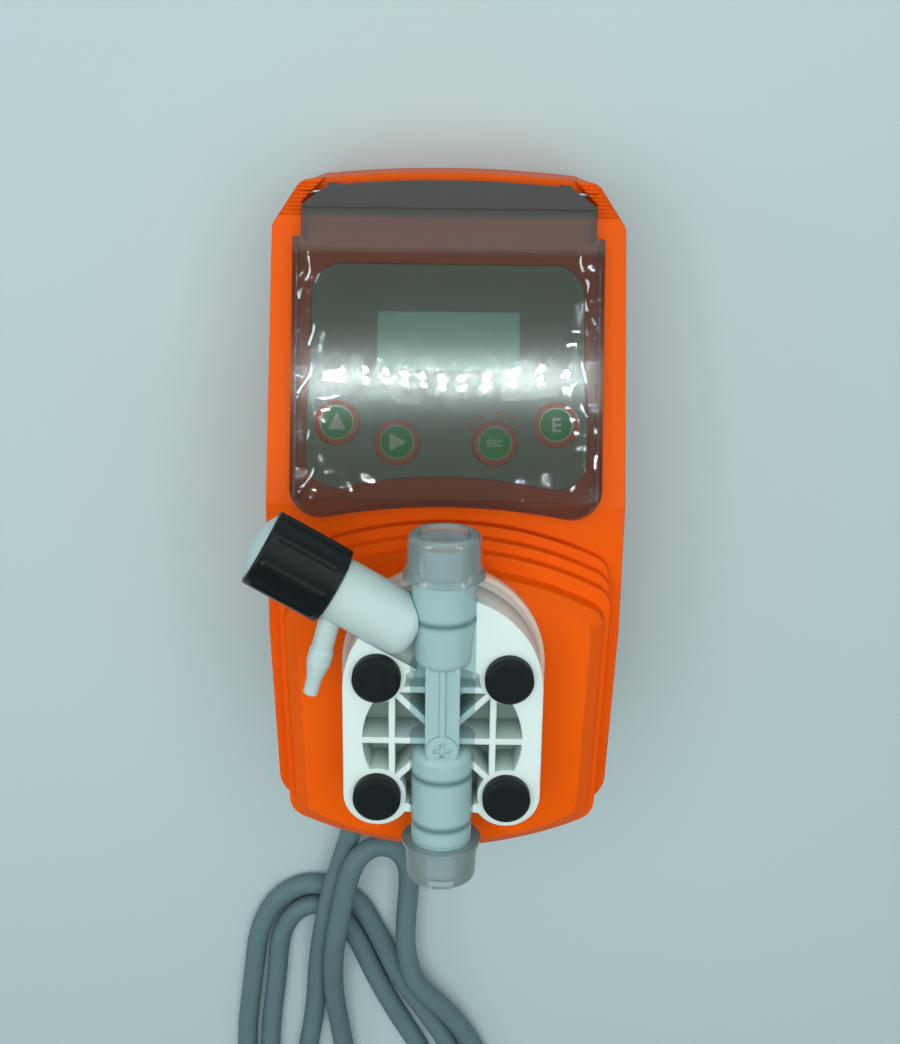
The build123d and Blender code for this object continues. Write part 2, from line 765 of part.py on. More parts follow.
with BuildPart() as protective_film:
    with BuildSketch(display_face.offset(cover_height)):
        with Locations((0, (film_foot + film_top) / 2)):
            Rectangle(2 * film_half_width, film_top - film_foot)
    extrude(amount=film_thickness)
protective_film.part.label = "protective_film"
export_step(protective_film.part, "parts/protective_film.step")

# ================================================================ drive
with BuildPart() as solenoid_yoke:
    with BuildSketch(Plane.XY.offset(yoke_rear_z)):
        with Locations((0, head_y)):
            RectangleRounded(yoke_side, yoke_side, 4)
    extrude(amount=yoke_front_z - yoke_rear_z)
    with BuildSketch(Plane.XY.offset(yoke_rear_z + yoke_plate)):
        with Locations((0, head_y)):
            RectangleRounded(yoke_side - 2 * yoke_wall, yoke_side + 20, 2)
    extrude(amount=yoke_front_z, mode=Mode.SUBTRACT)
    with BuildSketch(Plane.XY.offset(yoke_rear_z)):
        with Locations((0, head_y)):
            Circle(core_stem_radius + thread_gap)
    extrude(amount=yoke_plate, mode=Mode.SUBTRACT)
solenoid_yoke.part.label = "solenoid_yoke"
export_step(solenoid_yoke.part, "parts/solenoid_yoke.step")

with BuildPart() as yoke_front_plate:
    with BuildSketch(Plane.XY.offset(yoke_front_z)):
        with Locations((0, head_y)):
            RectangleRounded(yoke_side, yoke_side, 4)
            Circle(rod_radius + running_gap, mode=Mode.SUBTRACT)
            with GridLocations(2 * solenoid_screw_x, 2 * solenoid_screw_y, 2, 2):
                Circle(solenoid_screw_radius + 0.2, mode=Mode.SUBTRACT)
    extrude(amount=yoke_plate)
yoke_front_plate.part.label = "yoke_front_plate"
export_step(yoke_front_plate.part, "parts/yoke_front_plate.step")

with BuildPart() as solenoid_screws:
    for z_start, radius, length in (
        (yoke_front_z - 2.4, 3.0, 2.4),
        (yoke_front_z - 1.0, solenoid_screw_radius, yoke_plate + 10),
    ):
        with BuildSketch(Plane.XY.offset(z_start)):
            with Locations((0, head_y)):
                with GridLocations(2 * solenoid_screw_x, 2 * solenoid_screw_y, 2, 2):
                    Circle(radius)
        extrude(amount=length)
solenoid_screws.part.label = "solenoid_screws"
export_step(solenoid_screws.part, "parts/solenoid_screws.step")

with BuildPart() as solenoid_coil:
    with BuildSketch(Plane.XY.offset(yoke_rear_z + yoke_plate)):
        with Locations((0, head_y)):
            Circle(coil_outer_radius)
            Circle(plunger_radius + plunger_gap, mode=Mode.SUBTRACT)
    extrude(amount=yoke_front_z - yoke_rear_z - yoke_plate - 3)
solenoid_coil.part.label = "solenoid_coil"
export_step(solenoid_coil.part, "parts/solenoid_coil.step")

with BuildPart() as solenoid_core:
    with BuildSketch(Plane.XY.offset(yoke_rear_z + yoke_plate)):
        with Locations((0, head_y)):
            Circle(core_radius)
    extrude(amount=core_front_z - yoke_rear_z - yoke_plate)
    with BuildSketch(Plane.XY.offset(yoke_rear_z)):
        with Locations((0, head_y)):
            Circle(core_stem_radius)
    extrude(amount=yoke_plate)
solenoid_core.part.label = "solenoid_core"
export_step(solenoid_core.part, "parts/solenoid_core.step")

with BuildPart() as plunger:
    with BuildSketch(Plane.XY.offset(plunger_rear_z)):
        with Locations((0, head_y)):
            Circle(plunger_radius)
    extrude(amount=plunger_front_z - plunger_rear_z)
plunger.part.label = "plunger"
export_step(plunger.part, "parts/plunger.step")

diaphragm_rear_z = nose_front_z
rod_front_z = diaphragm_rear_z - 3.0
with BuildPart() as push_rod:
    with BuildSketch(Plane.XY.offset(plunger_front_z)):
        with Locations((0, head_y)):
            Circle(rod_radius)
    extrude(amount=rod_front_z - plunger_front_z)
push_rod.part.label = "push_rod"
export_step(push_rod.part, "parts/push_rod.step")

spring_length = yoke_front_z - plunger_front_z - 2 * spring_wire
with BuildPart() as return_spring:
    with BuildLine(Plane.XY.offset(plunger_front_z + spring_wire)):
        spring_path = Helix(
            pitch=spring_length / spring_turns, height=spring_length, radius=spring_radius,
            center=(0, head_y, 0),
        )
    with BuildSketch(spring_path ^ 0):
        Circle(spring_wire - 0.02)
    sweep(is_frenet=True)
return_spring.part.label = "return_spring"
export_step(return_spring.part, "parts/return_spring.step")

with BuildPart() as support_plate:
    with BuildSketch(Plane.XY.offset(support_rear_z)):
        with Locations((0, head_y)):
            Circle(support_radius)
            Circle(diaphragm_hub_radius + 0.6, mode=Mode.SUBTRACT)
    extrude(amount=nose_front_z - support_rear_z)
support_plate.part.label = "support_plate"
export_step(support_plate.part, "parts/support_plate.step")

with BuildPart() as diaphragm:
    with BuildSketch(Plane.XY.offset(diaphragm_rear_z)):
        with Locations((0, head_y)):
            Circle(diaphragm_radius)
    extrude(amount=diaphragm_thickness)
    with BuildSketch(Plane.XY.offset(rod_front_z)):
        with Locations((0, head_y)):
            Circle(diaphragm_hub_radius)
    extrude(amount=diaphragm_rear_z - rod_front_z)
diaphragm.part.label = "diaphragm"
export_step(diaphragm.part, "parts/diaphragm.step")


# ================================================================ pump head
def head_outline(margin=0.0):
    """Arched plate, straight-sided, with a round lobe behind each lower screw and a notch between."""
    radius = head_radius + margin
    lobe_y = head_y - head_screw_offset
    with BuildSketch() as sketch:
        with Locations((0, head_arch_y)):
            Circle(radius)
        with Locations((0, lobe_y)):
            Rectangle(2 * radius, head_arch_y - lobe_y, align=(Align.CENTER, Align.MIN))
        with Locations(*[place for place in screw_square if place[1] < head_y]):
            Circle(head_lobe_radius + margin)
        with Locations((0, head_foot_y - margin)):
            Rectangle(2 * head_screw_offset, head_arch_y - head_foot_y, align=(Align.CENTER, Align.MIN))
    return sketch.sketch


def pocket_floor():
    """Round hollow in the head's front: all of it but the screw towers, the ribs and the bar."""
    with BuildSketch() as sketch:
        with Locations((0, pocket_y)):
            Circle(pocket_radius)
        with Locations(*screw_square):
            Circle(tower_radius, mode=Mode.SUBTRACT)
        with Locations((0, cross_rib_y)):
            Rectangle(4 * pocket_radius, rib_thickness, mode=Mode.SUBTRACT)
            Rectangle(2 * bar_half_width, 4 * pocket_radius, mode=Mode.SUBTRACT)
            with GridLocations(2 * rib_spread, 0, 2, 1):
                Rectangle(rib_thickness, 2 * head_screw_offset, mode=Mode.SUBTRACT)
        with Locations((0, head_y)):
            for turn in (45, -45):
                Rectangle(
                    2 * 2**0.5 * head_screw_offset, rib_thickness, rotation=turn, mode=Mode.SUBTRACT
                )
        with Locations((0, shelf_rib_y)):
            Rectangle(2 * head_screw_offset, rib_thickness, mode=Mode.SUBTRACT)
    return sketch.sketch


bore_radius = cartridge_radius + cartridge_gap
seat_drop = (ball_radius**2 - seat_bore_radius**2) ** 0.5       # ball centre above its seat
shoulder_rise = seat_drop + ball_lift + (ball_radius**2 - cage_shoulder_radius**2) ** 0.5 + 0.1
inlet_cage_y = inlet_seat_y + shoulder_rise + cage_end

with BuildPart() as pump_head:
    with BuildSketch(Plane.XY.offset(nose_front_z)):
        add(head_outline(flange_margin))
    extrude(amount=flange_thickness)
    with BuildSketch(Plane.XY.offset(nose_front_z)):
        add(head_outline())
    extrude(amount=head_front_z - nose_front_z)
    with BuildSketch(Plane.XY.offset(head_plate_z)):
        add(pocket_floor())
    extrude(amount=head_front_z - head_plate_z, mode=Mode.SUBTRACT)
    with BuildSketch(Plane.XY.offset(head_plate_z)):
        with Locations((0, shelf_rib_y)):
            Rectangle(2 * head_screw_offset, tower_radius, align=(Align.CENTER, Align.MIN))
    extrude(amount=shelf_z - head_plate_z)
    # hollow in the rim that the bleed valve lies in
    with BuildSketch(Plane(bleed_axis.position, z_dir=bleed_axis.direction)):
        Circle(bleed_radius + bleed_channel_gap)
    extrude(amount=bleed_end, mode=Mode.SUBTRACT)
    # valve tubes, then the centre bar with its ridge and the boss at its end
    with BuildSketch(valve_sheet):
        with BuildLine():
            Polyline(
                (0, outlet_mouth_y), (tube_mouth_radius, outlet_mouth_y), (tube_radius, outlet_taper_y),
                (tube_tip_radius, outlet_tip_y + tube_tip_round),
            )
            RadiusArc(
                (tube_tip_radius, outlet_tip_y + tube_tip_round),
                (tube_tip_radius - tube_tip_round, outlet_tip_y), tube_tip_round,
            )
            Polyline((tube_tip_radius - tube_tip_round, outlet_tip_y), (0, outlet_tip_y), (0, outlet_mouth_y))
        make_face()
    revolve(axis=valve_axis)
    with BuildSketch(valve_sheet):
        with BuildLine():
            Polyline(
                (0, inlet_tip_y), (0, inlet_mouth_y), (inlet_tube_radius, inlet_mouth_y),
                (inlet_tube_radius, inlet_tip_y - tube_tip_round),
            )
            RadiusArc(
                (inlet_tube_radius, inlet_tip_y - tube_tip_round),
                (inlet_tube_radius - tube_tip_round, inlet_tip_y), -tube_tip_round,
            )
            Line((inlet_tube_radius - tube_tip_round, inlet_tip_y), (0, inlet_tip_y))
        make_face()
    revolve(axis=valve_axis)
    bar_end_y = outlet_tip_y + tube_tip_round
    with BuildSketch(Plane.XY.offset(head_plate_z)):
        with Locations((0, (bar_end_y + boss_y) / 2)):
            Rectangle(2 * bar_half_width, bar_end_y - boss_y)
        with Locations((0, boss_y)):
            Circle(bar_half_width)
    extrude(amount=bar_front_z - head_plate_z)
    with BuildSketch(Plane.XY.offset(bar_front_z)):
        with Locations((0, (bar_end_y + boss_y) / 2)):
            Rectangle(2 * ridge_half_width, bar_end_y - boss_y)
    extrude(amount=ridge_height)
    with BuildSketch(Plane.XY.offset(bar_front_z)):
        with Locations((0, boss_y)):
            Circle(bar_half_width - 0.3)
    extrude(amount=boss_front_z - bar_front_z)
    with BuildSketch(Plane.XY.offset(boss_front_z)):
        with Locations((0, boss_y)):
            Rectangle(bar_half_width, 1.2)
            Rectangle(1.2, bar_half_width)
    extrude(amount=-boss_recess, mode=Mode.SUBTRACT)
    # screw holes with a counterbore for the head, washer and rubber cap
    with BuildSketch(Plane.XY.offset(nose_front_z)):
        with Locations(*screw_square):
            Circle(head_screw_radius + 0.3)
    extrude(amount=screw_seat_z - nose_front_z, mode=Mode.SUBTRACT)
    with BuildSketch(Plane.XY.offset(screw_seat_z)):
        with Locations(*screw_square):
            Circle(cap_stem_radius + cap_gap)
    extrude(amount=head_front_z - screw_seat_z, mode=Mode.SUBTRACT)
    # seat and chamber behind, for the diaphragm
    with BuildSketch(Plane.XY.offset(nose_front_z)):
        with Locations((0, head_y)):
            Circle(diaphragm_radius + running_gap)
    extrude(amount=diaphragm_thickness, mode=Mode.SUBTRACT)
    with BuildSketch(Plane.XY.offset(nose_front_z)):
        with Locations((0, head_y)):
            Circle(chamber_radius)
    extrude(amount=diaphragm_thickness + chamber_depth, mode=Mode.SUBTRACT)
    # ports from the chamber up to the valves and to the bleed valve
    with BuildSketch(Plane.XY.offset(nose_front_z + diaphragm_thickness)):
        with Locations((0, outlet_port_y), (0, inlet_port_y)):
            Circle(port_radius)
    extrude(amount=valve_z - nose_front_z - diaphragm_thickness, mode=Mode.SUBTRACT)
    with BuildSketch(across_y(outlet_port_y)):
        Circle(port_radius)
    extrude(amount=outlet_mouth_y - outlet_port_y, mode=Mode.SUBTRACT)
    with BuildSketch(across_y(inlet_port_y)):
        Circle(port_radius)
    extrude(amount=inlet_mouth_y - inlet_port_y, mode=Mode.SUBTRACT)
    with BuildSketch(Plane(bleed_axis.position, z_dir=bleed_axis.direction)):
        Circle(bleed_passage_radius)
    extrude(amount=bleed_start + 4, mode=Mode.SUBTRACT)
    with BuildSketch(Plane(bleed_axis.position + bleed_axis.direction * bleed_spigot_start,
                           z_dir=bleed_axis.direction)):
        Circle(bleed_spigot_radius + thread_gap)
    extrude(amount=bleed_start, mode=Mode.SUBTRACT)
    # bores for the valve cartridges
    with BuildSketch(across_y(outlet_mouth_y)):
        Circle(bore_radius)
    extrude(amount=outlet_seat_y - seat_thickness - outlet_mouth_y, mode=Mode.SUBTRACT)
    with BuildSketch(across_y(inlet_mouth_y)):
        Circle(bore_radius)
    extrude(amount=inlet_cage_y - inlet_mouth_y, mode=Mode.SUBTRACT)
pump_head.part.label = "pump_head"
export_step(pump_head.part, "parts/pump_head.step")

with BuildPart() as head_screws:
    with BuildSketch(Plane.XY.offset(head_thread_z)):
        with Locations(*screw_square):
            Circle(head_screw_radius)
    extrude(amount=screw_seat_z + washer_thickness - head_thread_z)
    with BuildSketch(Plane.XY.offset(screw_seat_z + washer_thickness)):
        with Locations(*screw_square):
            Circle(head_screw_head_radius)
    extrude(amount=head_screw_head_height)
    with BuildSketch(Plane.XY.offset(screw_seat_z + washer_thickness + head_screw_head_height)):
        with Locations(*screw_square):
            RegularPolygon(2.3, 6)
    extrude(amount=-2.4, mode=Mode.SUBTRACT)
head_screws.part.label = "head_screws"
export_step(head_screws.part, "parts/head_screws.step")

with BuildPart() as head_washers:
    with BuildSketch(Plane.XY.offset(screw_seat_z)):
        with Locations(*screw_square):
            Circle(head_screw_head_radius + 0.4)
            Circle(head_screw_radius + thread_gap, mode=Mode.SUBTRACT)
    extrude(amount=washer_thickness)
head_washers.part.label = "head_washers"
export_step(head_washers.part, "parts/head_washers.step")

stem_foot_z = screw_seat_z + washer_thickness + head_screw_head_height + seat_gap
for number, place in enumerate(screw_square, start=1):
    with BuildPart() as screw_cap:
        with BuildSketch(Plane.XY.offset(head_front_z)):
            with Locations(place):
                Circle(cap_radius)
        extrude(amount=cap_rim)
        chamfer(screw_cap.edges().sort_by(Axis.Z)[-1], length=1.1)
        with BuildSketch(Plane.XY.offset(stem_foot_z)):
            with Locations(place):
                Circle(cap_stem_radius)
        extrude(amount=head_front_z + 1 - stem_foot_z)
    screw_cap.part.label = f"screw_cap_{number}"
    export_step(screw_cap.part, f"parts/screw_cap_{number}.step")

# ================================================================ valves
ring_path_radius = bore_radius - 0.02 - ring_radius
groove_radius = ring_path_radius - ring_radius - ring_groove_gap
groove_half = ring_radius + ring_groove_gap
cage_radius = ball_radius + ball_room

with BuildPart() as outlet_valve_body:
    with BuildSketch(valve_sheet):
        with BuildLine():
            shoulder_y = outlet_seat_y + shoulder_rise
            collar_y = outlet_mouth_y + collar_thickness
            Polyline(
                (cage_radius, outlet_seat_y), (cartridge_radius, outlet_seat_y),
                (cartridge_radius, outlet_ring_y - groove_half), (groove_radius, outlet_ring_y - groove_half),
                (groove_radius, outlet_ring_y + groove_half), (cartridge_radius, outlet_ring_y + groove_half),
                (cartridge_radius, outlet_mouth_y), (tube_mouth_radius, outlet_mouth_y),
                (tube_mouth_radius, collar_y), (thread_radius, collar_y),
                (thread_radius, collar_y + thread_length), (neck_bore_radius, collar_y + thread_length),
                (neck_bore_radius, collar_y), (cage_shoulder_radius, collar_y - 2),
                (cage_shoulder_radius, shoulder_y), (cage_radius, shoulder_y), close=True,
            )
        make_face()
    revolve(axis=valve_axis)
outlet_valve_body.part.label = "outlet_valve_body"
export_step(outlet_valve_body.part, "parts/outlet_valve_body.step")

with BuildPart() as inlet_valve_body:
    with BuildSketch(valve_sheet):
        with BuildLine():
            body_top_y = inlet_seat_y - seat_thickness
            collar_y = inlet_mouth_y - collar_thickness
            Polyline(
                (cage_shoulder_radius, body_top_y), (cartridge_radius, body_top_y),
                (cartridge_radius, inlet_ring_y + groove_half), (groove_radius, inlet_ring_y + groove_half),
                (groove_radius, inlet_ring_y - groove_half), (cartridge_radius, inlet_ring_y - groove_half),
                (cartridge_radius, inlet_mouth_y), (inlet_tube_radius, inlet_mouth_y),
                (inlet_tube_radius, collar_y), (thread_radius, collar_y),
                (thread_radius, collar_y - thread_length), (neck_bore_radius, collar_y - thread_length),
                (neck_bore_radius, collar_y), (cage_shoulder_radius, collar_y + 2), close=True,
            )
        make_face()
    revolve(axis=valve_axis)
inlet_valve_body.part.label = "inlet_valve_body"
export_step(inlet_valve_body.part, "parts/inlet_valve_body.step")

with BuildPart() as inlet_cage:
    with BuildSketch(valve_sheet):
        with BuildLine():
            shoulder_y = inlet_seat_y + shoulder_rise
            cage_top_y = inlet_cage_y - thread_gap
            Polyline(
                (cage_radius, inlet_seat_y), (cartridge_radius, inlet_seat_y),
                (cartridge_radius, cage_ring_y - groove_half), (groove_radius, cage_ring_y - groove_half),
                (groove_radius, cage_ring_y + groove_half), (cartridge_radius, cage_ring_y + groove_half),
                (cartridge_radius, cage_top_y), (cage_shoulder_radius, cage_top_y),
                (cage_shoulder_radius, shoulder_y), (cage_radius, shoulder_y), close=True,
            )
        make_face()
    revolve(axis=valve_axis)
inlet_cage.part.label = "inlet_cage"
export_step(inlet_cage.part, "parts/inlet_cage.step")

for valve_name, seat_y in (("outlet", outlet_seat_y), ("inlet", inlet_seat_y)):
    with BuildPart() as valve_seat:
        with BuildSketch(across_y(seat_y)):
            Circle(cartridge_radius)
            Circle(seat_bore_radius, mode=Mode.SUBTRACT)
        extrude(amount=-seat_thickness)
    valve_seat.part.label = f"{valve_name}_seat"
    export_step(valve_seat.part, f"parts/{valve_name}_seat.step")

    with BuildPart() as valve_ball:
        with Locations((0, seat_y + seat_drop + 0.02, valve_z)):
            Sphere(ball_radius)
    valve_ball.part.label = f"{valve_name}_ball"
    export_step(valve_ball.part, f"parts/{valve_name}_ball.step")

for ring_name, ring_places in (
    ("outlet_o_ring", [outlet_ring_y]),
    ("inlet_o_rings", [inlet_ring_y, cage_ring_y]),
):
    with BuildPart() as valve_rings:
        with BuildSketch(valve_sheet):
            with Locations(*[(ring_path_radius, ring_y) for ring_y in ring_places]):
                Circle(ring_radius)
        revolve(axis=valve_axis)
    valve_rings.part.label = ring_name
    export_step(valve_rings.part, f"parts/{ring_name}.step")

for cap_name, mouth_y, way in (("outlet_cap", outlet_mouth_y, 1), ("inlet_cap", inlet_mouth_y, -1)):
    cap_y = mouth_y + way * (collar_thickness + thread_gap)
    flange_y = cap_y + way * protective_flange_thickness
    inner_end_y = cap_y + way * (thread_length + seat_gap)
    recess_y = inner_end_y + way * protective_end
    end_y = recess_y + way * protective_recess
    inner_radius = thread_radius + protective_gap
    with BuildPart() as protective_cap:
        with BuildSketch(valve_sheet):
            with BuildLine():
                Polyline(
                    (inner_radius, cap_y), (protective_flange_radius, cap_y),
                    (protective_flange_radius - 0.2, flange_y), (protective_cap_radius, flange_y + way * 0.5),
                    (protective_tip_radius, end_y - way * protective_shoulder),
                )
                RadiusArc(
                    (protective_tip_radius, end_y - way * protective_shoulder),
                    (protective_tip_radius - protective_shoulder, end_y), -way * protective_shoulder,
                )
                Polyline(
                    (protective_tip_radius - protective_shoulder, end_y), (protective_recess_radius, end_y),
                    (protective_recess_radius, recess_y), (0, recess_y), (0, inner_end_y),
                    (inner_radius, inner_end_y), (inner_radius, cap_y),
                )
            make_face()
        revolve(axis=valve_axis)
    protective_cap.part.label = cap_name
    export_step(protective_cap.part, f"parts/{cap_name}.step")


# ================================================================ air bleed
def across_bleed(distance):
    """Plane square to the bleed axis, this far along it, facing the knob."""
    return Plane(bleed_axis.position + bleed_axis.direction * distance, z_dir=bleed_axis.direction)


nipple_turn = radians(nipple_angle)
nipple_way = Vector(cos(nipple_turn), -sin(nipple_turn), 0)
nipple_root = bleed_sheet.from_local_coords(Vector(nipple_place, bleed_radius, 0))
nipple_sheet = Plane(nipple_root, x_dir=nipple_way, z_dir=(0, 0, 1))
with BuildPart() as bleed_valve_body:
    with BuildSketch(bleed_sheet):
        with BuildLine():
            Line((bleed_start, 0), (bleed_start, bleed_radius - bleed_round))
            RadiusArc(
                (bleed_start, bleed_radius - bleed_round), (bleed_start + bleed_round, bleed_radius),
                bleed_round,
            )
            Polyline(
                (bleed_start + bleed_round, bleed_radius), (bleed_end, bleed_radius),
                (bleed_end, bleed_neck_radius), (bleed_neck_end, bleed_neck_radius),
                (bleed_neck_end, 0), (bleed_start, 0),
            )
        make_face()
    revolve(axis=bleed_axis)
    with BuildSketch(nipple_sheet):
        with BuildLine():
            Polyline(
                (-2.4, 0), (-2.4, nipple_radius), (nipple_neck, nipple_radius - 0.05),
                (nipple_neck + 1, nipple_barb_radius), (nipple_cone, nipple_barb_radius - 0.05),
                (nipple_tip, nipple_tip_radius + 0.1), (nipple_length, nipple_tip_radius),
                (nipple_length, 0), close=True,
            )
        make_face()
    revolve(axis=Axis(nipple_sheet.origin, nipple_sheet.x_dir))
    with BuildSketch(across_bleed(bleed_end)):
        Circle(4 * bleed_radius)
        Circle(bleed_neck_radius, mode=Mode.SUBTRACT)
    extrude(amount=20, mode=Mode.SUBTRACT)
    # saddle against the outlet tube, then the spigot that plugs into it
    with BuildSketch(across_y(outlet_tip_y - 10)):
        Circle(tube_mouth_radius + thread_gap)
    extrude(amount=60, mode=Mode.SUBTRACT)
    with BuildSketch(across_bleed(bleed_spigot_start + 0.1)):
        Circle(bleed_spigot_radius)
    extrude(amount=bleed_start)
    # passage, needle bore and the nipple's own bore
    with BuildSketch(across_bleed(0)):
        Circle(bleed_passage_radius)
    extrude(amount=bleed_neck_end, mode=Mode.SUBTRACT)
    with BuildSketch(across_bleed(needle_start - seat_gap)):
        Circle(needle_room_radius)
    extrude(amount=needle_guide - needle_start, mode=Mode.SUBTRACT)
    with BuildSketch(across_bleed(needle_guide - 1)):
        Circle(needle_radius + running_gap)
    extrude(amount=bleed_neck_end, mode=Mode.SUBTRACT)
    with BuildSketch(nipple_sheet):
        Rectangle(nipple_length + 1, nipple_bore, align=(Align.MIN, Align.MIN))
        Rectangle(bleed_radius, nipple_bore, align=(Align.MAX, Align.MIN))
    revolve(axis=Axis(nipple_sheet.origin, nipple_sheet.x_dir), mode=Mode.SUBTRACT)
    with BuildSketch(bleed_sheet):
        with Locations((bleed_ring_place, needle_radius + bleed_ring_radius)):
            Circle(bleed_ring_radius + thread_gap)
    revolve(axis=bleed_axis, mode=Mode.SUBTRACT)
bleed_valve_body.part.label = "bleed_valve_body"
export_step(bleed_valve_body.part, "parts/bleed_valve_body.step")

with BuildPart() as bleed_needle:
    with BuildSketch(across_bleed(needle_start)):
        Circle(needle_radius)
    extrude(amount=knob_wall_start - needle_start)
    chamfer(bleed_needle.edges().sort_by(bleed_axis)[0], length=0.9)
bleed_needle.part.label = "bleed_needle"
export_step(bleed_needle.part, "parts/bleed_needle.step")

with BuildPart() as bleed_o_ring:
    with BuildSketch(bleed_sheet):
        with Locations((bleed_ring_place, needle_radius + bleed_ring_radius)):
            Circle(bleed_ring_radius)
    revolve(axis=bleed_axis)
bleed_o_ring.part.label = "bleed_o_ring"
export_step(bleed_o_ring.part, "parts/bleed_o_ring.step")

with BuildPart() as bleed_knob:
    with BuildSketch(across_bleed(knob_start)):
        Circle(knob_radius)
    extrude(amount=knob_end - knob_start)
    fillet(bleed_knob.edges().sort_by(bleed_axis)[-1], radius=0.8)
    rib_half_length = (knob_end - knob_start) / 2 - flute_margin - flute_radius
    with Locations(across_bleed((knob_start + knob_end) / 2)):
        with PolarLocations(knob_radius - flute_inset, knob_flutes):
            Cylinder(flute_radius, 2 * rib_half_length)
    for rib_end in (-rib_half_length, rib_half_length):
        with Locations(across_bleed((knob_start + knob_end) / 2 + rib_end)):
            with PolarLocations(knob_radius - flute_inset, knob_flutes):
                Sphere(flute_radius)
    with BuildSketch(across_bleed(knob_start)):
        Circle(bleed_neck_radius + running_gap)
    extrude(amount=knob_wall_start - knob_start, mode=Mode.SUBTRACT)
    with BuildSketch(across_bleed(knob_end - knob_cap_rim)):
        Circle(knob_cap_radius + thread_gap)
    extrude(amount=knob_end, mode=Mode.SUBTRACT)
bleed_knob.part.label = "bleed_knob"
export_step(bleed_knob.part, "parts/bleed_knob.step")

with BuildPart() as bleed_knob_cap:
    with BuildSketch(bleed_sheet):
        with BuildLine():
            Polyline(
                (knob_end, knob_cap_radius), (knob_end - knob_cap_rim, knob_cap_radius),
                (knob_end - knob_cap_rim, 0), (knob_end + knob_cap_dome, 0),
            )
            ThreePointArc(
                (knob_end + knob_cap_dome, 0),
                (knob_end + 0.75 * knob_cap_dome, knob_cap_radius / 2),
                (knob_end, knob_cap_radius),
            )
        make_face()
    revolve(axis=bleed_axis)
bleed_knob_cap.part.label = "bleed_knob_cap"
export_step(bleed_knob_cap.part, "parts/bleed_knob_cap.step")

# ================================================================ mains lead
gland_x, gland_z = cord_exit
gland_end_y = gland_wall_y - gland_length
gland_axis = Axis((gland_x, 0, gland_z), (0, 1, 0))
with BuildPart() as strain_relief:
    with BuildSketch(Plane.XY.offset(gland_z)):
        with BuildLine():
            inner_y = gland_wall_y + gland_flange_place
            Polyline(
                (gland_x, inner_y + 2), (gland_x + gland_flange_radius, inner_y + 2),
                (gland_x + gland_flange_radius, inner_y), (gland_x + gland_sleeve_radius, inner_y),
                (gland_x + gland_sleeve_radius, gland_wall_y), (gland_x + gland_nut_radius, gland_wall_y),
                (gland_x + gland_nut_radius, gland_wall_y - gland_nut_length),
                (gland_x + gland_sleeve_radius, gland_wall_y - gland_nut_length),
                (gland_x + cord_radius + 0.6, gland_end_y), (gland_x, gland_end_y), close=True,
            )
        make_face()
    revolve(axis=gland_axis)
strain_relief.part.label = "strain_relief"
export_step(strain_relief.part, "parts/strain_relief.step")

cord_points = [(gland_x, gland_end_y, gland_z), *cord_bends, (coil_entry_x, coil_top_y, coil_entry_z)]
cord_radii = []
for before, bend, after in zip(cord_points, cord_points[1:], cord_points[2:]):
    arriving, leaving = Vector(*bend) - Vector(*before), Vector(*after) - Vector(*bend)
    half_turn = radians(arriving.get_angle(leaving)) / 2
    cord_radii.append(0.45 * min(arriving.length, leaving.length) / tan(half_turn))
with BuildPart() as power_cord:
    with BuildLine():
        cord_route = FilletPolyline(*cord_points, radius=cord_radii)
    with BuildSketch(Plane(cord_route @ 0, z_dir=cord_route % 0)):
        Circle(cord_radius)
    sweep()
power_cord.part.label = "power_cord"
export_step(power_cord.part, "parts/power_cord.step")
print("cord radii", [round(radius, 1) for radius in cord_radii])

coil_centre = ((coil_left_x + coil_right_x) / 2, (coil_top_y + coil_foot_y) / 2)
coil_size = (coil_right_x - coil_left_x, coil_top_y - coil_foot_y)
with BuildPart() as cord_coil:
    with BuildSketch():
        with Locations(coil_centre):
            RectangleRounded(*coil_size, coil_corner)
            SlotOverall(coil_size[1] - coil_size[0] + coil_hole_width, coil_hole_width, rotation=90,
                        mode=Mode.SUBTRACT)
    extrude(amount=coil_height)
cord_coil.part.label = "cord_coil"
export_step(cord_coil.part, "parts/cord_coil.step")

plug_axis = Axis((plug_x, 0, plug_body_radius), (0, 1, 0))
plug_shoulder_y = coil_foot_y - plug_grip_length
plug_face_y = plug_shoulder_y - plug_body_length
with BuildPart() as plug_body:
    with BuildSketch(Plane.XY.offset(plug_body_radius)):
        with BuildLine():
            Polyline(
                (plug_x, coil_foot_y), (plug_x + cord_radius + 1, coil_foot_y),
                (plug_x + plug_grip_radius, plug_shoulder_y),
                (plug_x + plug_body_radius - 4, plug_shoulder_y - 5),
                (plug_x + plug_body_radius, plug_shoulder_y - 10), (plug_x + plug_body_radius, plug_face_y),
                (plug_x, plug_face_y), close=True,
            )
        make_face()
    revolve(axis=plug_axis)
    for side in (-1, 1):
        with BuildSketch(across_y(plug_face_y, plug_x, plug_body_radius + side * (plug_body_radius - 1.2))):
            Rectangle(6, 5)
        extrude(amount=16, mode=Mode.SUBTRACT)
plug_body.part.label = "plug_body"
export_step(plug_body.part, "parts/plug_body.step")

with BuildPart() as plug_pins:
    with BuildSketch(across_y(plug_face_y, plug_x, plug_body_radius)):
        with GridLocations(plug_pin_spacing, 0, 2, 1):
            Circle(plug_pin_radius)
    extrude(amount=-plug_pin_length)
    chamfer(plug_pins.edges().group_by(Axis.Y)[0], length=0.8)
plug_pins.part.label = "plug_pins"
export_step(plug_pins.part, "parts/plug_pins.step")
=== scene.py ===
# %% [markdown]
# # A diaphragm metering pump, lying on its back
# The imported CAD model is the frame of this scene: its nodes stay where they are and only take new
# materials. Finer pieces are built round them: the lead and its coil, printed key symbols, the
# crinkled film on the cover, screw threads and surface grain.
# Everything is in metres in the pump's own frame: X across, +Y towards the display, +Z out of the front.

import json
import math

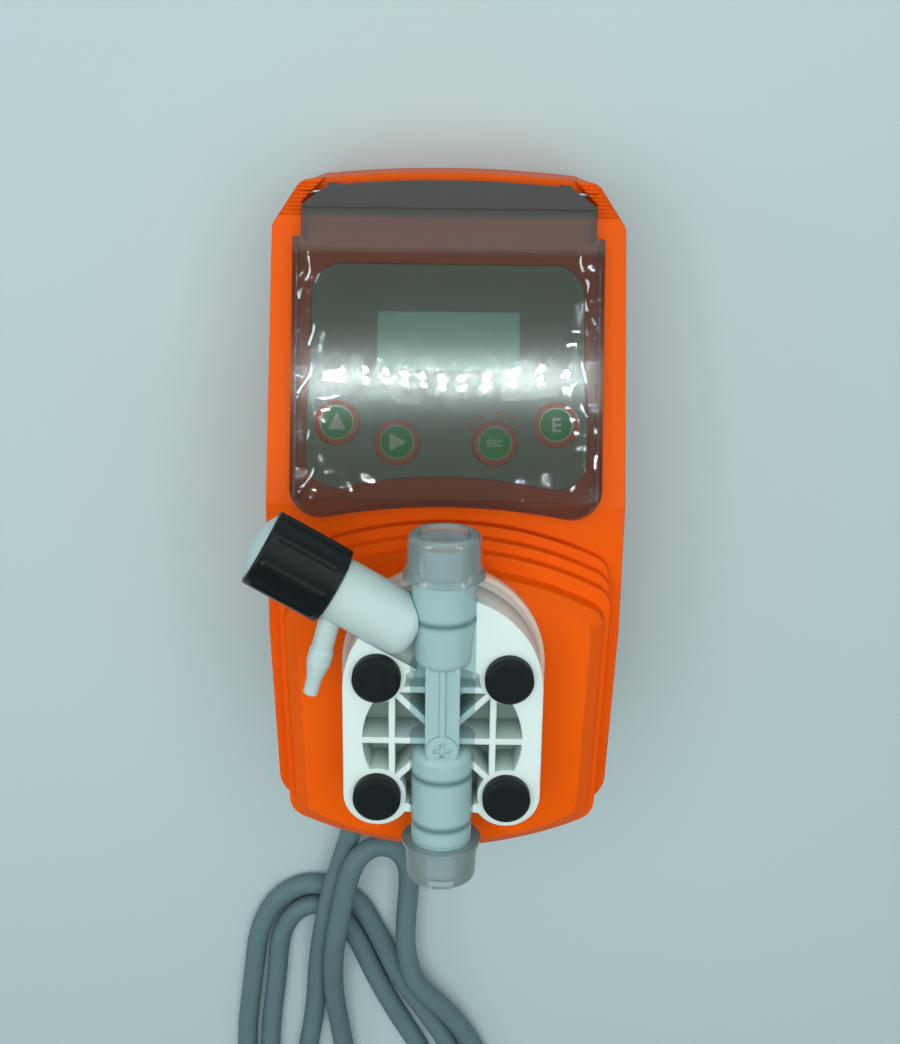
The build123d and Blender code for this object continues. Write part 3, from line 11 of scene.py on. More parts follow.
import bmesh
import bpy
import numpy as np
from mathutils import Matrix, Vector


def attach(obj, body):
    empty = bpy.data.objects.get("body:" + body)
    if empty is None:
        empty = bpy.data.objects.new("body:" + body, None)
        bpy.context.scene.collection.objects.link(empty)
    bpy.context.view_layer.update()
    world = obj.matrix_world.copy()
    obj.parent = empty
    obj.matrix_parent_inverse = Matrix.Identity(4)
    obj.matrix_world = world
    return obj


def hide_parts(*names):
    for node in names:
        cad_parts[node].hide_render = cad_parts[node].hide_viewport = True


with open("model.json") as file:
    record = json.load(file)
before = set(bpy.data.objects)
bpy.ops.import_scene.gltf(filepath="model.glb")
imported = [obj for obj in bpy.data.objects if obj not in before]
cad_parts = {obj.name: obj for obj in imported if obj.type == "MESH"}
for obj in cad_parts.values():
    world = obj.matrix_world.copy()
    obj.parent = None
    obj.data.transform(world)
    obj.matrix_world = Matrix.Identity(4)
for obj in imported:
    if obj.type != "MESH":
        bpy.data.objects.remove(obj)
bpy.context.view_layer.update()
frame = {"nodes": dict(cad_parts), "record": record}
nodes = frame["nodes"]

# %% [markdown]
# ## Camera
# The camera stands above the display end, square to the sloping display face, so the keys and the
# display are seen undistorted. Its axis leans 18 degrees back from the vertical, as that face does,
# and it is rolled by less than a degree. The Standard view transform shows a colour as it is written.

# %% Camera
FOCAL_LENGTH = 48.28                     # mm
SENSOR_SIZE = 36.0                       # mm, along the frame's long side
CAMERA_PLACE = (0.0014, 0.129, 0.493)
CAMERA_LEAN = -18.0                      # degrees
CAMERA_ROLL = 0.75                       # degrees
camera_data = bpy.data.cameras.new("camera")
camera_data.lens = FOCAL_LENGTH
camera_data.sensor_width = SENSOR_SIZE
camera_data.sensor_fit = "AUTO"
camera_data.clip_start = 0.01
camera = bpy.data.objects.new("camera", camera_data)
bpy.context.collection.objects.link(camera)
tilt_back = Matrix.Rotation(math.radians(CAMERA_LEAN), 4, "X")
roll = Matrix.Rotation(math.radians(CAMERA_ROLL), 4, "Z")
camera.matrix_world = Matrix.Translation(CAMERA_PLACE) @ tilt_back @ roll
bpy.context.scene.camera = camera
bpy.context.scene.view_settings.view_transform = "Standard"
print("camera looks along", camera.matrix_world.to_quaternion() @ Vector((0, 0, -1)))

# %% [markdown]
# ## Lead
# The lead leaves the strain relief, drops to the floor and lies in three loose turns. Each turn runs
# up its right leg, over the top to the left and down its left leg. The first ring is the smallest.
# The last one, the arch, crosses over the others and ends at the plug.
# The listed points are the control points of one NURBS spline, which passes inside each corner.

# %% Lead
CORD_DIAMETER = 0.008
tube_route = [(-33, -122, 26), (-33, -132, 26), (-35, -142.5, 15), (-35, -152, 15)]
turns = [
    # down to the first, inner turn
    (-37.5, -161, 13), (-43.5, -180, 12.8), (-47, -198, 12.6), (-50, -218, 6.5), (-51.5, -242, 4.1),
    (-57, -272, 4.1), (-55, -300, 4.1), (-37, -320, 4.1), (-14, -319, 4.1), (0, -298, 4.1),
    (-5, -266, 4.1), (-19, -242, 4.1), (-27.5, -224, 4.1), (-34.3, -207, 4.1), (-41.4, -195.8, 4.1),
    (-51.2, -191.2, 4.1), (-60.4, -196.4, 4.1), (-65.6, -208, 4.1), (-67, -226, 4.1),
    # the outer turn
    (-71, -256, 4.1), (-71, -296, 4.1), (-53, -326, 4.1), (-25, -334, 4.1), (0, -325, 4.1),
    (12.5, -300, 4.1), (7, -264, 4.1), (-8, -240, 4.1), (-18.2, -224, 4.1), (-25.5, -206, 4.1),
    (-34, -188.5, 4.1), (-52, -181.2, 4.1), (-66, -188.5, 4.1), (-74, -204, 4.1), (-76.5, -224, 4.1),
    # the arch, over the others
    (-81, -258, 4.1), (-80, -300, 4.1), (-60, -335, 4.1), (-28, -346.5, 4.1), (4, -338, 4.1),
    (22, -308, 4.1), (19, -268, 4.1), (5, -242, 7.5), (-10, -225, 12.6), (-14.5, -208, 12.2),
    (-14.0, -192, 9.5), (-12.8, -178, 11), (-13.4, -166.5, 14), (-17.8, -158.4, 17), (-25.2, -155.6, 19.5),
    (-32.2, -159.6, 21), (-36.2, -169.5, 21.3), (-38.6, -182, 21.3), (-41.4, -197, 20.6), (-43.2, -213, 15.5),
    (-43.2, -232, 10.5), (-41, -252, 5.6), (-37, -280, 4.1), (-33, -300, 7.5), (-30.5, -315, 12.6),
    (-30, -335, 13.5), (-30, -352, 19),
]

route = np.array([*tube_route, *turns], float) / 1000
cord_curve = bpy.data.curves.new("mains_lead", "CURVE")
cord_curve.dimensions = "3D"
spline = cord_curve.splines.new("NURBS")
spline.points.add(len(route) - 1)
for point, place in zip(spline.points, route):
    point.co = (*place, 1.0)
    point.radius = CORD_DIAMETER / 2
spline.order_u = 3
spline.use_endpoint_u = True
spline.resolution_u = 12
cord_curve.bevel_depth = 1.0            # times each point's own radius
cord_curve.bevel_resolution = 7
cord_curve.use_fill_caps = True
mains_lead = bpy.data.objects.new("mains_lead", cord_curve)
bpy.context.collection.objects.link(mains_lead)
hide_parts("power_cord", "cord_coil")
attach(mains_lead, "pump")
print("lead drawn", round(spline.calc_length(), 3), "m long, from", len(route), "points")

# %% [markdown]
# ## Screw threads of the hose connections
# Each threaded neck is a plain cylinder in the frame. A low helical ridge is wound round it, and it
# shows through the protective cap.

# %% Threads
def mesh_piece(name, vertices, faces, body, smooth=False):
    """Closed mesh from points in metres, facing outward, that rides on a body of the frame."""
    mesh = bpy.data.meshes.new(name)
    mesh.from_pydata(np.asarray(vertices).tolist(), [], [list(map(int, face)) for face in faces])
    shell = bmesh.new()
    shell.from_mesh(mesh)
    bmesh.ops.remove_doubles(shell, verts=shell.verts, dist=1e-7)
    bmesh.ops.recalc_face_normals(shell, faces=shell.faces)
    shell.to_mesh(mesh)
    shell.free()
    mesh.shade_smooth() if smooth else mesh.shade_flat()
    piece = bpy.data.objects.new(name, mesh)
    bpy.context.collection.objects.link(piece)
    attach(piece, body)
    return piece


def grid_faces(rows, columns):
    """Quads of a tube of rows * columns points, closed round each row, with a face on both ends."""
    r, c = np.meshgrid(np.arange(rows - 1), np.arange(columns), indexing="ij")
    r, c, d = r.ravel(), c.ravel(), (c.ravel() + 1) % columns
    sides = np.column_stack([r * columns + c, r * columns + d, (r + 1) * columns + d, (r + 1) * columns + c])
    ends = [np.arange(columns)[::-1], (rows - 1) * columns + np.arange(columns)]
    return [*sides, *ends]


VALVE_Z = 0.135
NECK_RADIUS = 0.00833
THREAD_PITCH = 0.0022
THREAD_TURNS = 3.4


def thread(name, start_y, way):
    """Helical ridge on a threaded neck, 0.2 mm high, fading out at both ends.

    With a the angle from 0 to 2 pi times the turns, a point of the profile stands at radius r and at
    y = start + way * (pitch * a / (2 pi) + offset).
    """
    angle = np.linspace(0, 2 * np.pi * THREAD_TURNS, round(72 * THREAD_TURNS))
    fade = np.clip(np.minimum(angle, angle[-1] - angle) / 1.2, 0.05, 1)
    offsets = np.array([-0.00075, -0.0002, 0.0002, 0.00075])
    heights = np.array([-0.0002, 0.00019, 0.00019, -0.0002])
    radius = NECK_RADIUS + np.where(heights > 0, heights * fade[:, None], heights)
    y = start_y + way * (THREAD_PITCH * angle[:, None] / (2 * np.pi) + offsets)
    x = radius * np.cos(angle)[:, None]
    z = VALVE_Z + radius * np.sin(angle)[:, None]
    points = np.stack([x, y, z], axis=-1)
    return mesh_piece(name, points.reshape(-1, 3), grid_faces(*points.shape[:2]), "pump")


outlet_thread = thread("outlet_thread", -0.0016, 1)
inlet_thread = thread("inlet_thread", -0.0840, -1)
print("threads of", THREAD_TURNS, "turns on both necks")

# %% [markdown]
# ## Key symbols
# The keys carry an arrow up, an arrow to the right, ESC and E, raised a little above each key. The
# words ON/OFF follow the ring of the ESC key.

# %% Key symbols
TILT = math.radians(18.0)
FACE_FOOT = np.array([0.0, 0.005, 0.095])
ACROSS = np.array([1.0, 0.0, 0.0])
UP_SLOPE = np.array([0.0, math.cos(TILT), -math.sin(TILT)])
OUTWARD = np.array([0.0, math.sin(TILT), math.cos(TILT)])
KEY_PLACES = {"up": (-32.7, 24.2), "right": (-14.7, 18.5), "esc": (14.5, 18.5), "enter": (32.6, 24.2)}
KEY_TOP = 0.55                           # mm above the display face
PANEL_TOP = -0.30


def on_face(points):
    """Points given in mm across, up the slope and out of the display face, as points in the frame.

    The frame's point is foot + (u * across + v * up_slope + h * outward) / 1000.
    """
    points = np.asarray(points, float)
    return FACE_FOOT + (points[:, :1] * ACROSS + points[:, 1:2] * UP_SLOPE + points[:, 2:] * OUTWARD) / 1000


def prism(outline, low, high):
    """Points and faces of a flat shape between two heights."""
    n = len(outline)
    points = np.vstack([np.column_stack([outline, np.full(n, h)]) for h in (low, high)])
    sides = [(k, (k + 1) % n, n + (k + 1) % n, n + k) for k in range(n)]
    return points, [tuple(range(n))[::-1], tuple(range(n, 2 * n)), *sides]


def lettering(words, height, low, high):
    """Points and faces of upright capitals of the given height, centred on the origin, in mm."""
    curve = bpy.data.curves.new(words, "FONT")
    curve.body = words
    curve.align_x, curve.align_y = "CENTER", "CENTER"
    curve.resolution_u = 3
    curve.extrude = 0.5
    curve.offset = 0.02
    writing = bpy.data.objects.new(words, curve)
    bpy.context.collection.objects.link(writing)
    bpy.context.view_layer.update()
    mesh = bpy.data.meshes.new_from_object(writing.evaluated_get(bpy.context.evaluated_depsgraph_get()))
    points = np.array([v.co for v in mesh.vertices])
    faces = [tuple(p.vertices) for p in mesh.polygons]
    bpy.data.objects.remove(writing)
    bpy.data.meshes.remove(mesh)
    points[:, 1] -= (points[:, 1].min() + points[:, 1].max()) / 2
    points[:, :2] *= height / np.ptp(points[:, 1])
    points[:, 2] = np.where(points[:, 2] > 0, high, low)
    return points, faces


def shifted(shape, u, v, turn=0.0):
    """The shape turned about its centre and moved to (u, v) on the display face."""
    points, faces = shape
    c, s = math.cos(turn), math.sin(turn)
    moved = points @ np.array([[c, s, 0], [-s, c, 0], [0, 0, 1]]) + np.array([u, v, 0])
    return moved, faces


symbol_low, symbol_high = KEY_TOP - 0.1, KEY_TOP + 0.06
arrow = np.array([(0, 2.75), (-2.7, -2.15), (2.7, -2.15)])
symbols = {
    "up": prism(arrow, symbol_low, symbol_high),
    "right": prism(arrow[:, ::-1], symbol_low, symbol_high),
    "esc": lettering("ESC", 2.2, symbol_low, symbol_high),
    "enter": lettering("E", 4.2, symbol_low, symbol_high),
}
symbol_pieces = []
for key, shape in symbols.items():
    points, faces = shifted(shape, *KEY_PLACES[key])
    symbol_pieces.append(mesh_piece(f"{key}_symbol", on_face(points), faces, f"{key}_key"))

arc_points, arc_faces = [], []
for turn, letter in zip(np.radians(np.linspace(56, -56, 6)), "ON/OFF"):
    u = KEY_PLACES["esc"][0] - 8.9 * math.sin(turn)
    v = KEY_PLACES["esc"][1] + 8.9 * math.cos(turn)
    points, faces = shifted(lettering(letter, 2.2, PANEL_TOP - 0.1, PANEL_TOP + 0.05), u, v, turn)
    arc_faces += [tuple(k + sum(map(len, arc_points)) for k in face) for face in faces]
    arc_points.append(points)
on_off = mesh_piece("on_off_print", on_face(np.vstack(arc_points)), arc_faces, "pump")
print("symbols on", len(symbol_pieces), "keys")

# %% [markdown]
# ## Film on the cover
# A clear film lies on the window. It has lifted along both sides and in the lower corners, where it
# stands in sharp little folds.

# %% Film
FILM_WIDTH, FILM_LENGTH = 89.2, 73.5     # mm, cut flat
FILM_LOW = 1.0                           # up the slope, of its lower edge
FILM_HEIGHT = 8.03                       # of its underside above the display face
FILM_THICKNESS = 0.1
across = np.linspace(-FILM_WIDTH / 2, FILM_WIDTH / 2, 181)
up = np.linspace(0, FILM_LENGTH, 148)
U, V = np.meshgrid(across, up)
from_side = FILM_WIDTH / 2 - np.abs(U)
side = np.sign(U)
fold_line = 4.6 + 1.6 * np.sin(V / 5.1 + side) + 1.2 * np.sin(V / 2.3 + 2 * side)
lift = 0.42 * np.exp(-(((from_side - fold_line) / 1.1) ** 2))
ripple = 0.16 * np.exp(-from_side / 3.4) * (1 + np.sin(V / 0.9 + 3 * np.sin(V / 4.0) + 2 * side))
corner = np.exp(-(((np.abs(U) - 30) / 9) ** 2 + ((V - 3.5) / 3.2) ** 2))
corner_folds = 0.22 * corner * (1 + np.sin(U / 1.7 + V / 2.4))
loose = 0.03 * (np.sin(U / 9 + V / 13) + 1)
hollow = np.clip(np.minimum(V, FILM_LENGTH - V) / 1.5, 0, 1)
rise = (lift + ripple) * (0.35 + 0.65 * hollow) + corner_folds + loose
under = np.column_stack([U.ravel(), (FILM_LOW + V).ravel(), (FILM_HEIGHT + rise).ravel()])
over = under + (0, 0, FILM_THICKNESS)
rows, columns = U.shape
index = np.arange(rows * columns).reshape(rows, columns)
corners = (index[:-1, :-1], index[:-1, 1:], index[1:, 1:], index[1:, :-1])
quads = np.column_stack([corner.ravel() for corner in corners])
rim = np.concatenate([index[0, :-1], index[:-1, -1], index[-1, :0:-1], index[:0:-1, 0]])
skirt = np.column_stack([rim, np.roll(rim, -1), np.roll(rim, -1) + index.size, rim + index.size])
film = mesh_piece(
    "crinkled_film", on_face(np.vstack([under, over])), [*quads[:, ::-1], *(quads + index.size), *skirt],
    "cover", smooth=True,
)
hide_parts("protective_film")
print("film folds rise", round(float(rise.max()), 2), "mm")

# %% [markdown]
# ## Floor and light
# A pale table and a wide, soft light overhead. Two rows of small lamps overhead are mirrored in the
# film. The wide light isn't mirrored and the world is mirrored darker than it lights, so that the
# film and the window stay clear. Two strips at the sides are only mirrored, in the film's folds.

# %% Floor and light
def linear(red, green, blue, alpha=1.0):
    """Display colour, 0 to 255, as the linear colour that shaders take.

    Each channel c, from 0 to 1, becomes ((c + 0.055) / 1.055) to the power 2.4, or c / 12.92 when
    it is darker than 0.04045.
    """
    channels = [v / 255 for v in (red, green, blue)]
    return (*[((c + 0.055) / 1.055) ** 2.4 if c > 0.04045 else c / 12.92 for c in channels], alpha)


def add_node(tree, kind, inputs=None, **settings):
    """New shader node; an input given as another node's socket is linked, any other is its value."""
    new = tree.nodes.new(kind)
    for key, value in settings.items():
        setattr(new, key, value)
    for key, value in (inputs or {}).items():
        if isinstance(value, bpy.types.NodeSocket):
            tree.links.new(value, new.inputs[key])
        else:
            new.inputs[key].default_value = value
    return new


world = bpy.data.worlds.new("world")
bpy.context.scene.world = world
world.use_nodes = True
background = world.node_tree.nodes["Background"]
background.inputs["Color"].default_value = linear(206, 218, 220)
mirrored_ray = add_node(world.node_tree, "ShaderNodeLightPath").outputs["Is Glossy Ray"]
sky_strength = add_node(
    world.node_tree, "ShaderNodeMapRange", {"Value": mirrored_ray, "To Min": 0.39, "To Max": 0.12}
)
world.node_tree.links.new(sky_strength.outputs[0], background.inputs["Strength"])

floor_mesh = bpy.data.meshes.new("floor")
floor_mesh.from_pydata([(-3, -3, 0), (3, -3, 0), (3, 3, 0), (-3, 3, 0)], [], [(0, 1, 2, 3)])
floor = bpy.data.objects.new("floor", floor_mesh)
floor.location.z = -0.0002
bpy.context.collection.objects.link(floor)
floor_material = bpy.data.materials.new("table")
floor_material.use_nodes = True
surface = floor_material.node_tree.nodes["Principled BSDF"]
surface.inputs["Base Color"].default_value = linear(190, 209, 211)
surface.inputs["Roughness"].default_value = 0.7
surface.inputs["Specular IOR Level"].default_value = 0.2
floor.data.materials.append(floor_material)


def soft_light(name, place, aim, width, height, power, colour, mirrored=True):
    """Rectangular area light at `place`, facing `aim`."""
    data = bpy.data.lights.new(name, "AREA")
    data.shape, data.size, data.size_y = "RECTANGLE", width, height
    data.energy, data.color = power, colour
    lamp = bpy.data.objects.new(name, data)
    lamp.location = place
    lamp.rotation_euler = (Vector(aim) - Vector(place)).to_track_quat("-Z", "Y").to_euler()
    lamp.visible_glossy = mirrored
    bpy.context.collection.objects.link(lamp)
    return lamp


cool = (0.95, 1.0, 1.0)
overhead = soft_light("overhead", (0, 0.15, 0.95), (0, 0, 0), 0.9, 0.7, 6.9, cool, mirrored=False)
behind = soft_light("behind", (0.1, 0.9, 0.5), (0, 0, 0.05), 0.8, 0.3, 1.4, cool)
left = soft_light("left", (-0.8, 0.1, 0.6), (0, 0, 0.1), 0.5, 0.12, 0.8, cool)
strips = [
    soft_light(f"strip_{side}", (x, 0.25, 0.78), (0, 0.05, 0.1), 0.9, 0.14, 3.0, cool)
    for side, x in (("left", -0.68), ("right", 0.68))
]
for strip in strips:
    strip.visible_diffuse = False

# two rows of 13 lamps, placed so that they are mirrored in the film
ROW_PLACES = {"near": 0.458, "far": 0.447}
ROW_HEIGHT = 1.02
LAMPS_IN_ROW = 13
FIRST_LAMP_X = -0.1365
LAMP_SPACING = 0.02215
ROW_SLANT = 0.015                        # rise in y along x
LAMP_RADIUS = 0.0024
glow = bpy.data.materials.new("lamp_glow")
glow.use_nodes = True
glow_tree = glow.node_tree
emission = add_node(glow_tree, "ShaderNodeEmission", {"Color": (0.9, 0.97, 1, 1), "Strength": 360.0})
glow_tree.links.new(emission.outputs["Emission"], glow_tree.nodes["Material Output"].inputs["Surface"])
for name, y in ROW_PLACES.items():
    shell = bmesh.new()
    for k in range(LAMPS_IN_ROW):
        x = FIRST_LAMP_X + LAMP_SPACING * k
        place = Matrix.Translation((x, y + ROW_SLANT * x, ROW_HEIGHT))
        bmesh.ops.create_icosphere(shell, subdivisions=2, radius=LAMP_RADIUS, matrix=place)
    row_mesh = bpy.data.meshes.new(f"lamp_row_{name}")
    shell.to_mesh(row_mesh)
    shell.free()
    row_mesh.materials.append(glow)
    row = bpy.data.objects.new(f"lamp_row_{name}", row_mesh)
    row.visible_shadow = False
    row.visible_diffuse = False
    bpy.context.collection.objects.link(row)

# %% [markdown]
# ## Materials
# Every material is procedural and set in the frame's own coordinates. Moulded plastics share one
# surface: fine grain, and edges that catch the light as if slightly rounded.

# %% Material helpers
def new_material(slot_name, colour, roughness, **sockets):
    """Principled material named as the record's slot; returns it, its tree and its shader."""
    material = bpy.data.materials.new(slot_name)
    material.use_nodes = True
    shader = material.node_tree.nodes["Principled BSDF"]
    shader.inputs["Base Color"].default_value = colour
    shader.inputs["Roughness"].default_value = roughness
    for socket, value in sockets.items():
        shader.inputs[socket.replace("_", " ")].default_value = value
    return material, material.node_tree, shader


def place_of(tree):
    """Coordinates on the piece, in metres."""
    return add_node(tree, "ShaderNodeTexCoord").outputs["Object"]


def noise(tree, scale, detail=3.0, roughness=0.5):
    """Noise from 0 to 1 with about `scale` lumps per metre."""
    return add_node(
        tree, "ShaderNodeTexNoise",
        {"Vector": place_of(tree), "Scale": scale, "Detail": detail, "Roughness": roughness},
    ).outputs["Fac"]


def calc(tree, operation, first, second=0.0):
    """One step of arithmetic between sockets or numbers."""
    return add_node(tree, "ShaderNodeMath", {0: first, 1: second}, operation=operation).outputs[0]


def mix_colours(tree, factor, first, second):
    """Colour between two, by a factor from 0 to 1."""
    mixer = add_node(tree, "ShaderNodeMix", {"Factor": factor}, data_type="RGBA")
    for socket, value in zip([s for s in mixer.inputs if s.type == "RGBA"], (first, second)):
        if isinstance(value, bpy.types.NodeSocket):
            tree.links.new(value, socket)
        else:
            socket.default_value = value
    return [s for s in mixer.outputs if s.type == "RGBA"][0]


def ramp(tree, factor, stops):
    """Colour from a list of (position, colour) stops."""
    node = add_node(tree, "ShaderNodeValToRGB", {"Fac": factor})
    elements = node.color_ramp.elements
    while len(elements) < len(stops):
        elements.new(0.5)
    for element, (position, colour) in zip(elements, stops):
        element.position, element.color = position, colour
    return node.outputs["Color"]


def moulded(tree, shader, grain_scale=5200.0, grain_height=0.00002, edge=0.0004, variation=0.06):
    """Moulded surface: rounded-looking edges, fine grain and slightly uneven gloss."""
    normal = None
    if edge:
        normal = add_node(tree, "ShaderNodeBevel", {"Radius": edge}, samples=3).outputs["Normal"]
    inputs = {"Height": noise(tree, grain_scale, 2.0), "Distance": grain_height, "Strength": 0.8}
    if normal:
        inputs["Normal"] = normal
    bump = add_node(tree, "ShaderNodeBump", inputs)
    tree.links.new(bump.outputs["Normal"], shader.inputs["Normal"])
    base = shader.inputs["Roughness"].default_value
    uneven = calc(tree, "MULTIPLY_ADD", noise(tree, 160.0), variation * 2)
    uneven.node.inputs[2].default_value = base - variation
    tree.links.new(uneven, shader.inputs["Roughness"])


def mottled(tree, shader, darker, scale=45.0, amount=0.35):
    """Base colour that drifts a little towards a darker one."""
    colour = tuple(shader.inputs["Base Color"].default_value)
    factor = calc(tree, "MULTIPLY", noise(tree, scale, 4.0), amount)
    tree.links.new(mix_colours(tree, factor, colour, darker), shader.inputs["Base Color"])


def clear_sheet(slot_name, tint, haze, gloss_roughness, index=1.45, wave_scale=None, wave_height=0.0,
                frosted=None):
    """Thin clear plastic: tinted see-through, a little milky haze and a glossy surface.

    The gloss is mixed in by the Fresnel factor of the given index. `frosted` is (y, share): past that
    y the haze rises to that share over 2 mm.
    """
    material, tree, shader = new_material(slot_name, tint, 0.5)
    tree.nodes.remove(shader)
    through = add_node(tree, "ShaderNodeBsdfTransparent", {"Color": tint})
    milky = add_node(tree, "ShaderNodeBsdfDiffuse", {"Color": linear(196, 214, 214)})
    if frosted:
        y = add_node(tree, "ShaderNodeSeparateXYZ", {0: place_of(tree)}).outputs["Y"]
        haze = add_node(
            tree, "ShaderNodeMapRange",
            {"Value": y, "From Min": frosted[0], "From Max": frosted[0] + 0.002, "To Min": haze,
             "To Max": frosted[1]},
        ).outputs[0]
    body = add_node(tree, "ShaderNodeMixShader", {0: haze, 1: through.outputs[0], 2: milky.outputs[0]})
    gloss = add_node(tree, "ShaderNodeBsdfGlossy", {"Color": (1, 1, 1, 1), "Roughness": gloss_roughness})
    fresnel = add_node(tree, "ShaderNodeFresnel", {"IOR": index})
    if wave_scale:
        bump = add_node(
            tree, "ShaderNodeBump",
            {"Height": noise(tree, wave_scale, 2.0), "Distance": wave_height, "Strength": 1.0},
        )
        tree.links.new(bump.outputs["Normal"], gloss.inputs["Normal"])
        tree.links.new(bump.outputs["Normal"], fresnel.inputs["Normal"])
    whole = add_node(
        tree, "ShaderNodeMixShader", {0: fresnel.outputs[0], 1: body.outputs[0], 2: gloss.outputs[0]}
    )
    tree.links.new(whole.outputs[0], tree.nodes["Material Output"].inputs["Surface"])
    return material


# %% [markdown]
# The housing is moulded in orange plastic with a fine grain, and the hood over the display is grey.
# The window is smoked, with a frosted strip at its top. Each key is coloured by the distance from its
# own axis, so its rings stay round and stay on the key as it moves.

# %% Housing, cover and keypad
materials = {}
materials["housing_orange"], tree, shader = new_material(
    "housing_orange", linear(242, 94, 0), 0.45, Specular_IOR_Level=0.12
)
moulded(tree, shader, 4200.0, 0.00003, 0.0007)
mottled(tree, shader, linear(224, 80, 0), 26.0, 0.5)

materials["gasket_black"], tree, shader = new_material("gasket_black", linear(24, 26, 27), 0.75)
moulded(tree, shader, 3000.0, 0.00003, 0.0002)

materials["cover_grey"], tree, shader = new_material(
    "cover_grey", linear(82, 79, 77), 0.5, Specular_IOR_Level=0.25
)
moulded(tree, shader, 6500.0, 0.00002, 0.0006)
mottled(tree, shader, linear(72, 70, 68), 60.0, 0.6)

materials["window_smoke"] = clear_sheet(
    "window_smoke", linear(212, 216, 206), 0.02, 0.09, 1.45, frosted=(0.0765, 0.09)
)
materials["film_clear"] = clear_sheet("film_clear", linear(252, 254, 254), 0.006, 0.02, 1.5)

materials["panel_grey"], tree, shader = new_material(
    "panel_grey", linear(178, 172, 176), 0.5, Specular_IOR_Level=0.3
)
moulded(tree, shader, 9000.0, 0.000012, 0.0002)
mottled(tree, shader, linear(160, 156, 160), 34.0, 0.7)

# Painted glow: the display is not lit, yet it is given a faint blue emission so that it looks brighter. Its
# base colour is streaked lengthwise by a stretched noise.
materials["display_glass"], tree, shader = new_material(
    "display_glass", linear(182, 218, 232), 0.16, Coat_Weight=0.4, Coat_Roughness=0.06,
    Emission_Color=linear(140, 190, 214), Emission_Strength=0.22
)
lengthwise = add_node(tree, "ShaderNodeMapping", {"Vector": place_of(tree), "Scale": (1, 60, 60)})
streaks = add_node(
    tree, "ShaderNodeTexNoise", {"Vector": lengthwise.outputs[0], "Scale": 90.0, "Detail": 4.0}
).outputs["Fac"]
streaked_colour = mix_colours(tree, streaks, linear(150, 188, 206), linear(204, 232, 242))
tree.links.new(streaked_colour, shader.inputs["Base Color"])


def key_material(key):
    """Key with a green middle, a fine pale line and a wide orange-red ring.

    The colour depends on the distance from the key's own axis, the length of
    (place - centre) x outward.
    """
    material, tree, shader = new_material(f"key_{key}", linear(8, 186, 76), 0.32, Coat_Weight=0.2)
    centre = on_face([(*KEY_PLACES[key], 0)])[0]
    offset = add_node(
        tree, "ShaderNodeVectorMath", {0: place_of(tree), 1: tuple(centre)}, operation="SUBTRACT"
    ).outputs[0]
    crossed = add_node(
        tree, "ShaderNodeVectorMath", {0: offset, 1: tuple(OUTWARD)}, operation="CROSS_PRODUCT"
    ).outputs[0]
    distance = add_node(
        tree, "ShaderNodeVectorMath", {0: crossed}, operation="LENGTH"
    ).outputs["Value"]
    share = calc(tree, "DIVIDE", distance, 0.007)
    green, pale, ring = linear(8, 186, 76), linear(226, 230, 214), linear(255, 96, 44)
    colours = ramp(
        tree, share,
        [(0.0, green), (0.665, green), (0.685, pale), (0.715, pale), (0.735, ring), (1.0, ring)],
    )
    tree.links.new(colours, shader.inputs["Base Color"])
    moulded(tree, shader, 9000.0, 0.00001, 0.0003)
    return material


key_materials = {key: key_material(key) for key in KEY_PLACES}
materials["key_green"], tree, shader = new_material("print_orange", linear(255, 96, 44), 0.4)
moulded(tree, shader, 9000.0, 0.00001, 0.0)
symbol_pale, tree, shader = new_material("symbol_pale", linear(250, 250, 242), 0.4)
moulded(tree, shader, 9000.0, 0.00001, 0.0)
print("housing, cover and key materials made")

# %% [markdown]
# Inside are a green circuit board and a solenoid. Turned and drawn metal carries fine lines along one
# direction, which a noise stretched along that axis gives. The coil's winding shows as close bands.

# %% Electronics and drive
materials["board_green"], tree, shader = new_material("board_green", linear(14, 92, 48), 0.35)
mottled(tree, shader, linear(8, 60, 32), 900.0, 0.6)
materials["switch_black"], tree, shader = new_material("switch_black", linear(22, 23, 24), 0.5)
moulded(tree, shader, 6000.0, 0.00001, 0.0002)


def metal(slot_name, colour, roughness, stretch, height=0.000006):
    """Metal with fine lines stretched along one axis."""
    material, tree, shader = new_material(slot_name, colour, roughness, Metallic=1.0)
    mapped = add_node(tree, "ShaderNodeMapping", {"Vector": place_of(tree), "Scale": stretch})
    lines = add_node(
        tree, "ShaderNodeTexNoise", {"Vector": mapped.outputs[0], "Scale": 1500.0, "Detail": 3.0}
    ).outputs["Fac"]
    bump = add_node(tree, "ShaderNodeBump", {"Height": lines, "Distance": height, "Strength": 1.0})
    tree.links.new(bump.outputs["Normal"], shader.inputs["Normal"])
    return material


materials["zinc_steel"] = metal("zinc_steel", linear(196, 198, 200), 0.34, (1, 1, 0.1))
materials["stainless"] = metal("stainless", linear(206, 206, 203), 0.26, (1, 0.1, 1))
materials["soft_iron"] = metal("soft_iron", linear(170, 171, 174), 0.4, (0.1, 1, 1))
materials["pin_nickel"] = metal("pin_nickel", linear(222, 218, 208), 0.2, (1, 0.1, 1))
materials["coil_wrap"], tree, shader = new_material("coil_wrap", linear(196, 150, 40), 0.42)
wraps = add_node(
    tree, "ShaderNodeTexWave", {"Vector": place_of(tree), "Scale": 30.0, "Distortion": 0.6},
    bands_direction="Z",
).outputs["Fac"]
bump = add_node(tree, "ShaderNodeBump", {"Height": wraps, "Distance": 0.0002, "Strength": 0.8})
tree.links.new(bump.outputs["Normal"], shader.inputs["Normal"])
materials["diaphragm_white"], tree, shader = new_material("diaphragm_white", linear(232, 232, 228), 0.4)
moulded(tree, shader, 4000.0, 0.00001, 0.0003)
print("metals and inner materials made")

# %% [markdown]
# The pump head and the valve tubes are milky plastic that lets a little light in, so their edges look
# soft and the dark O-rings inside show through as blurred bands. The band is painted by its place
# along the valve axis, which is cheaper and steadier than tracing light through the wall.

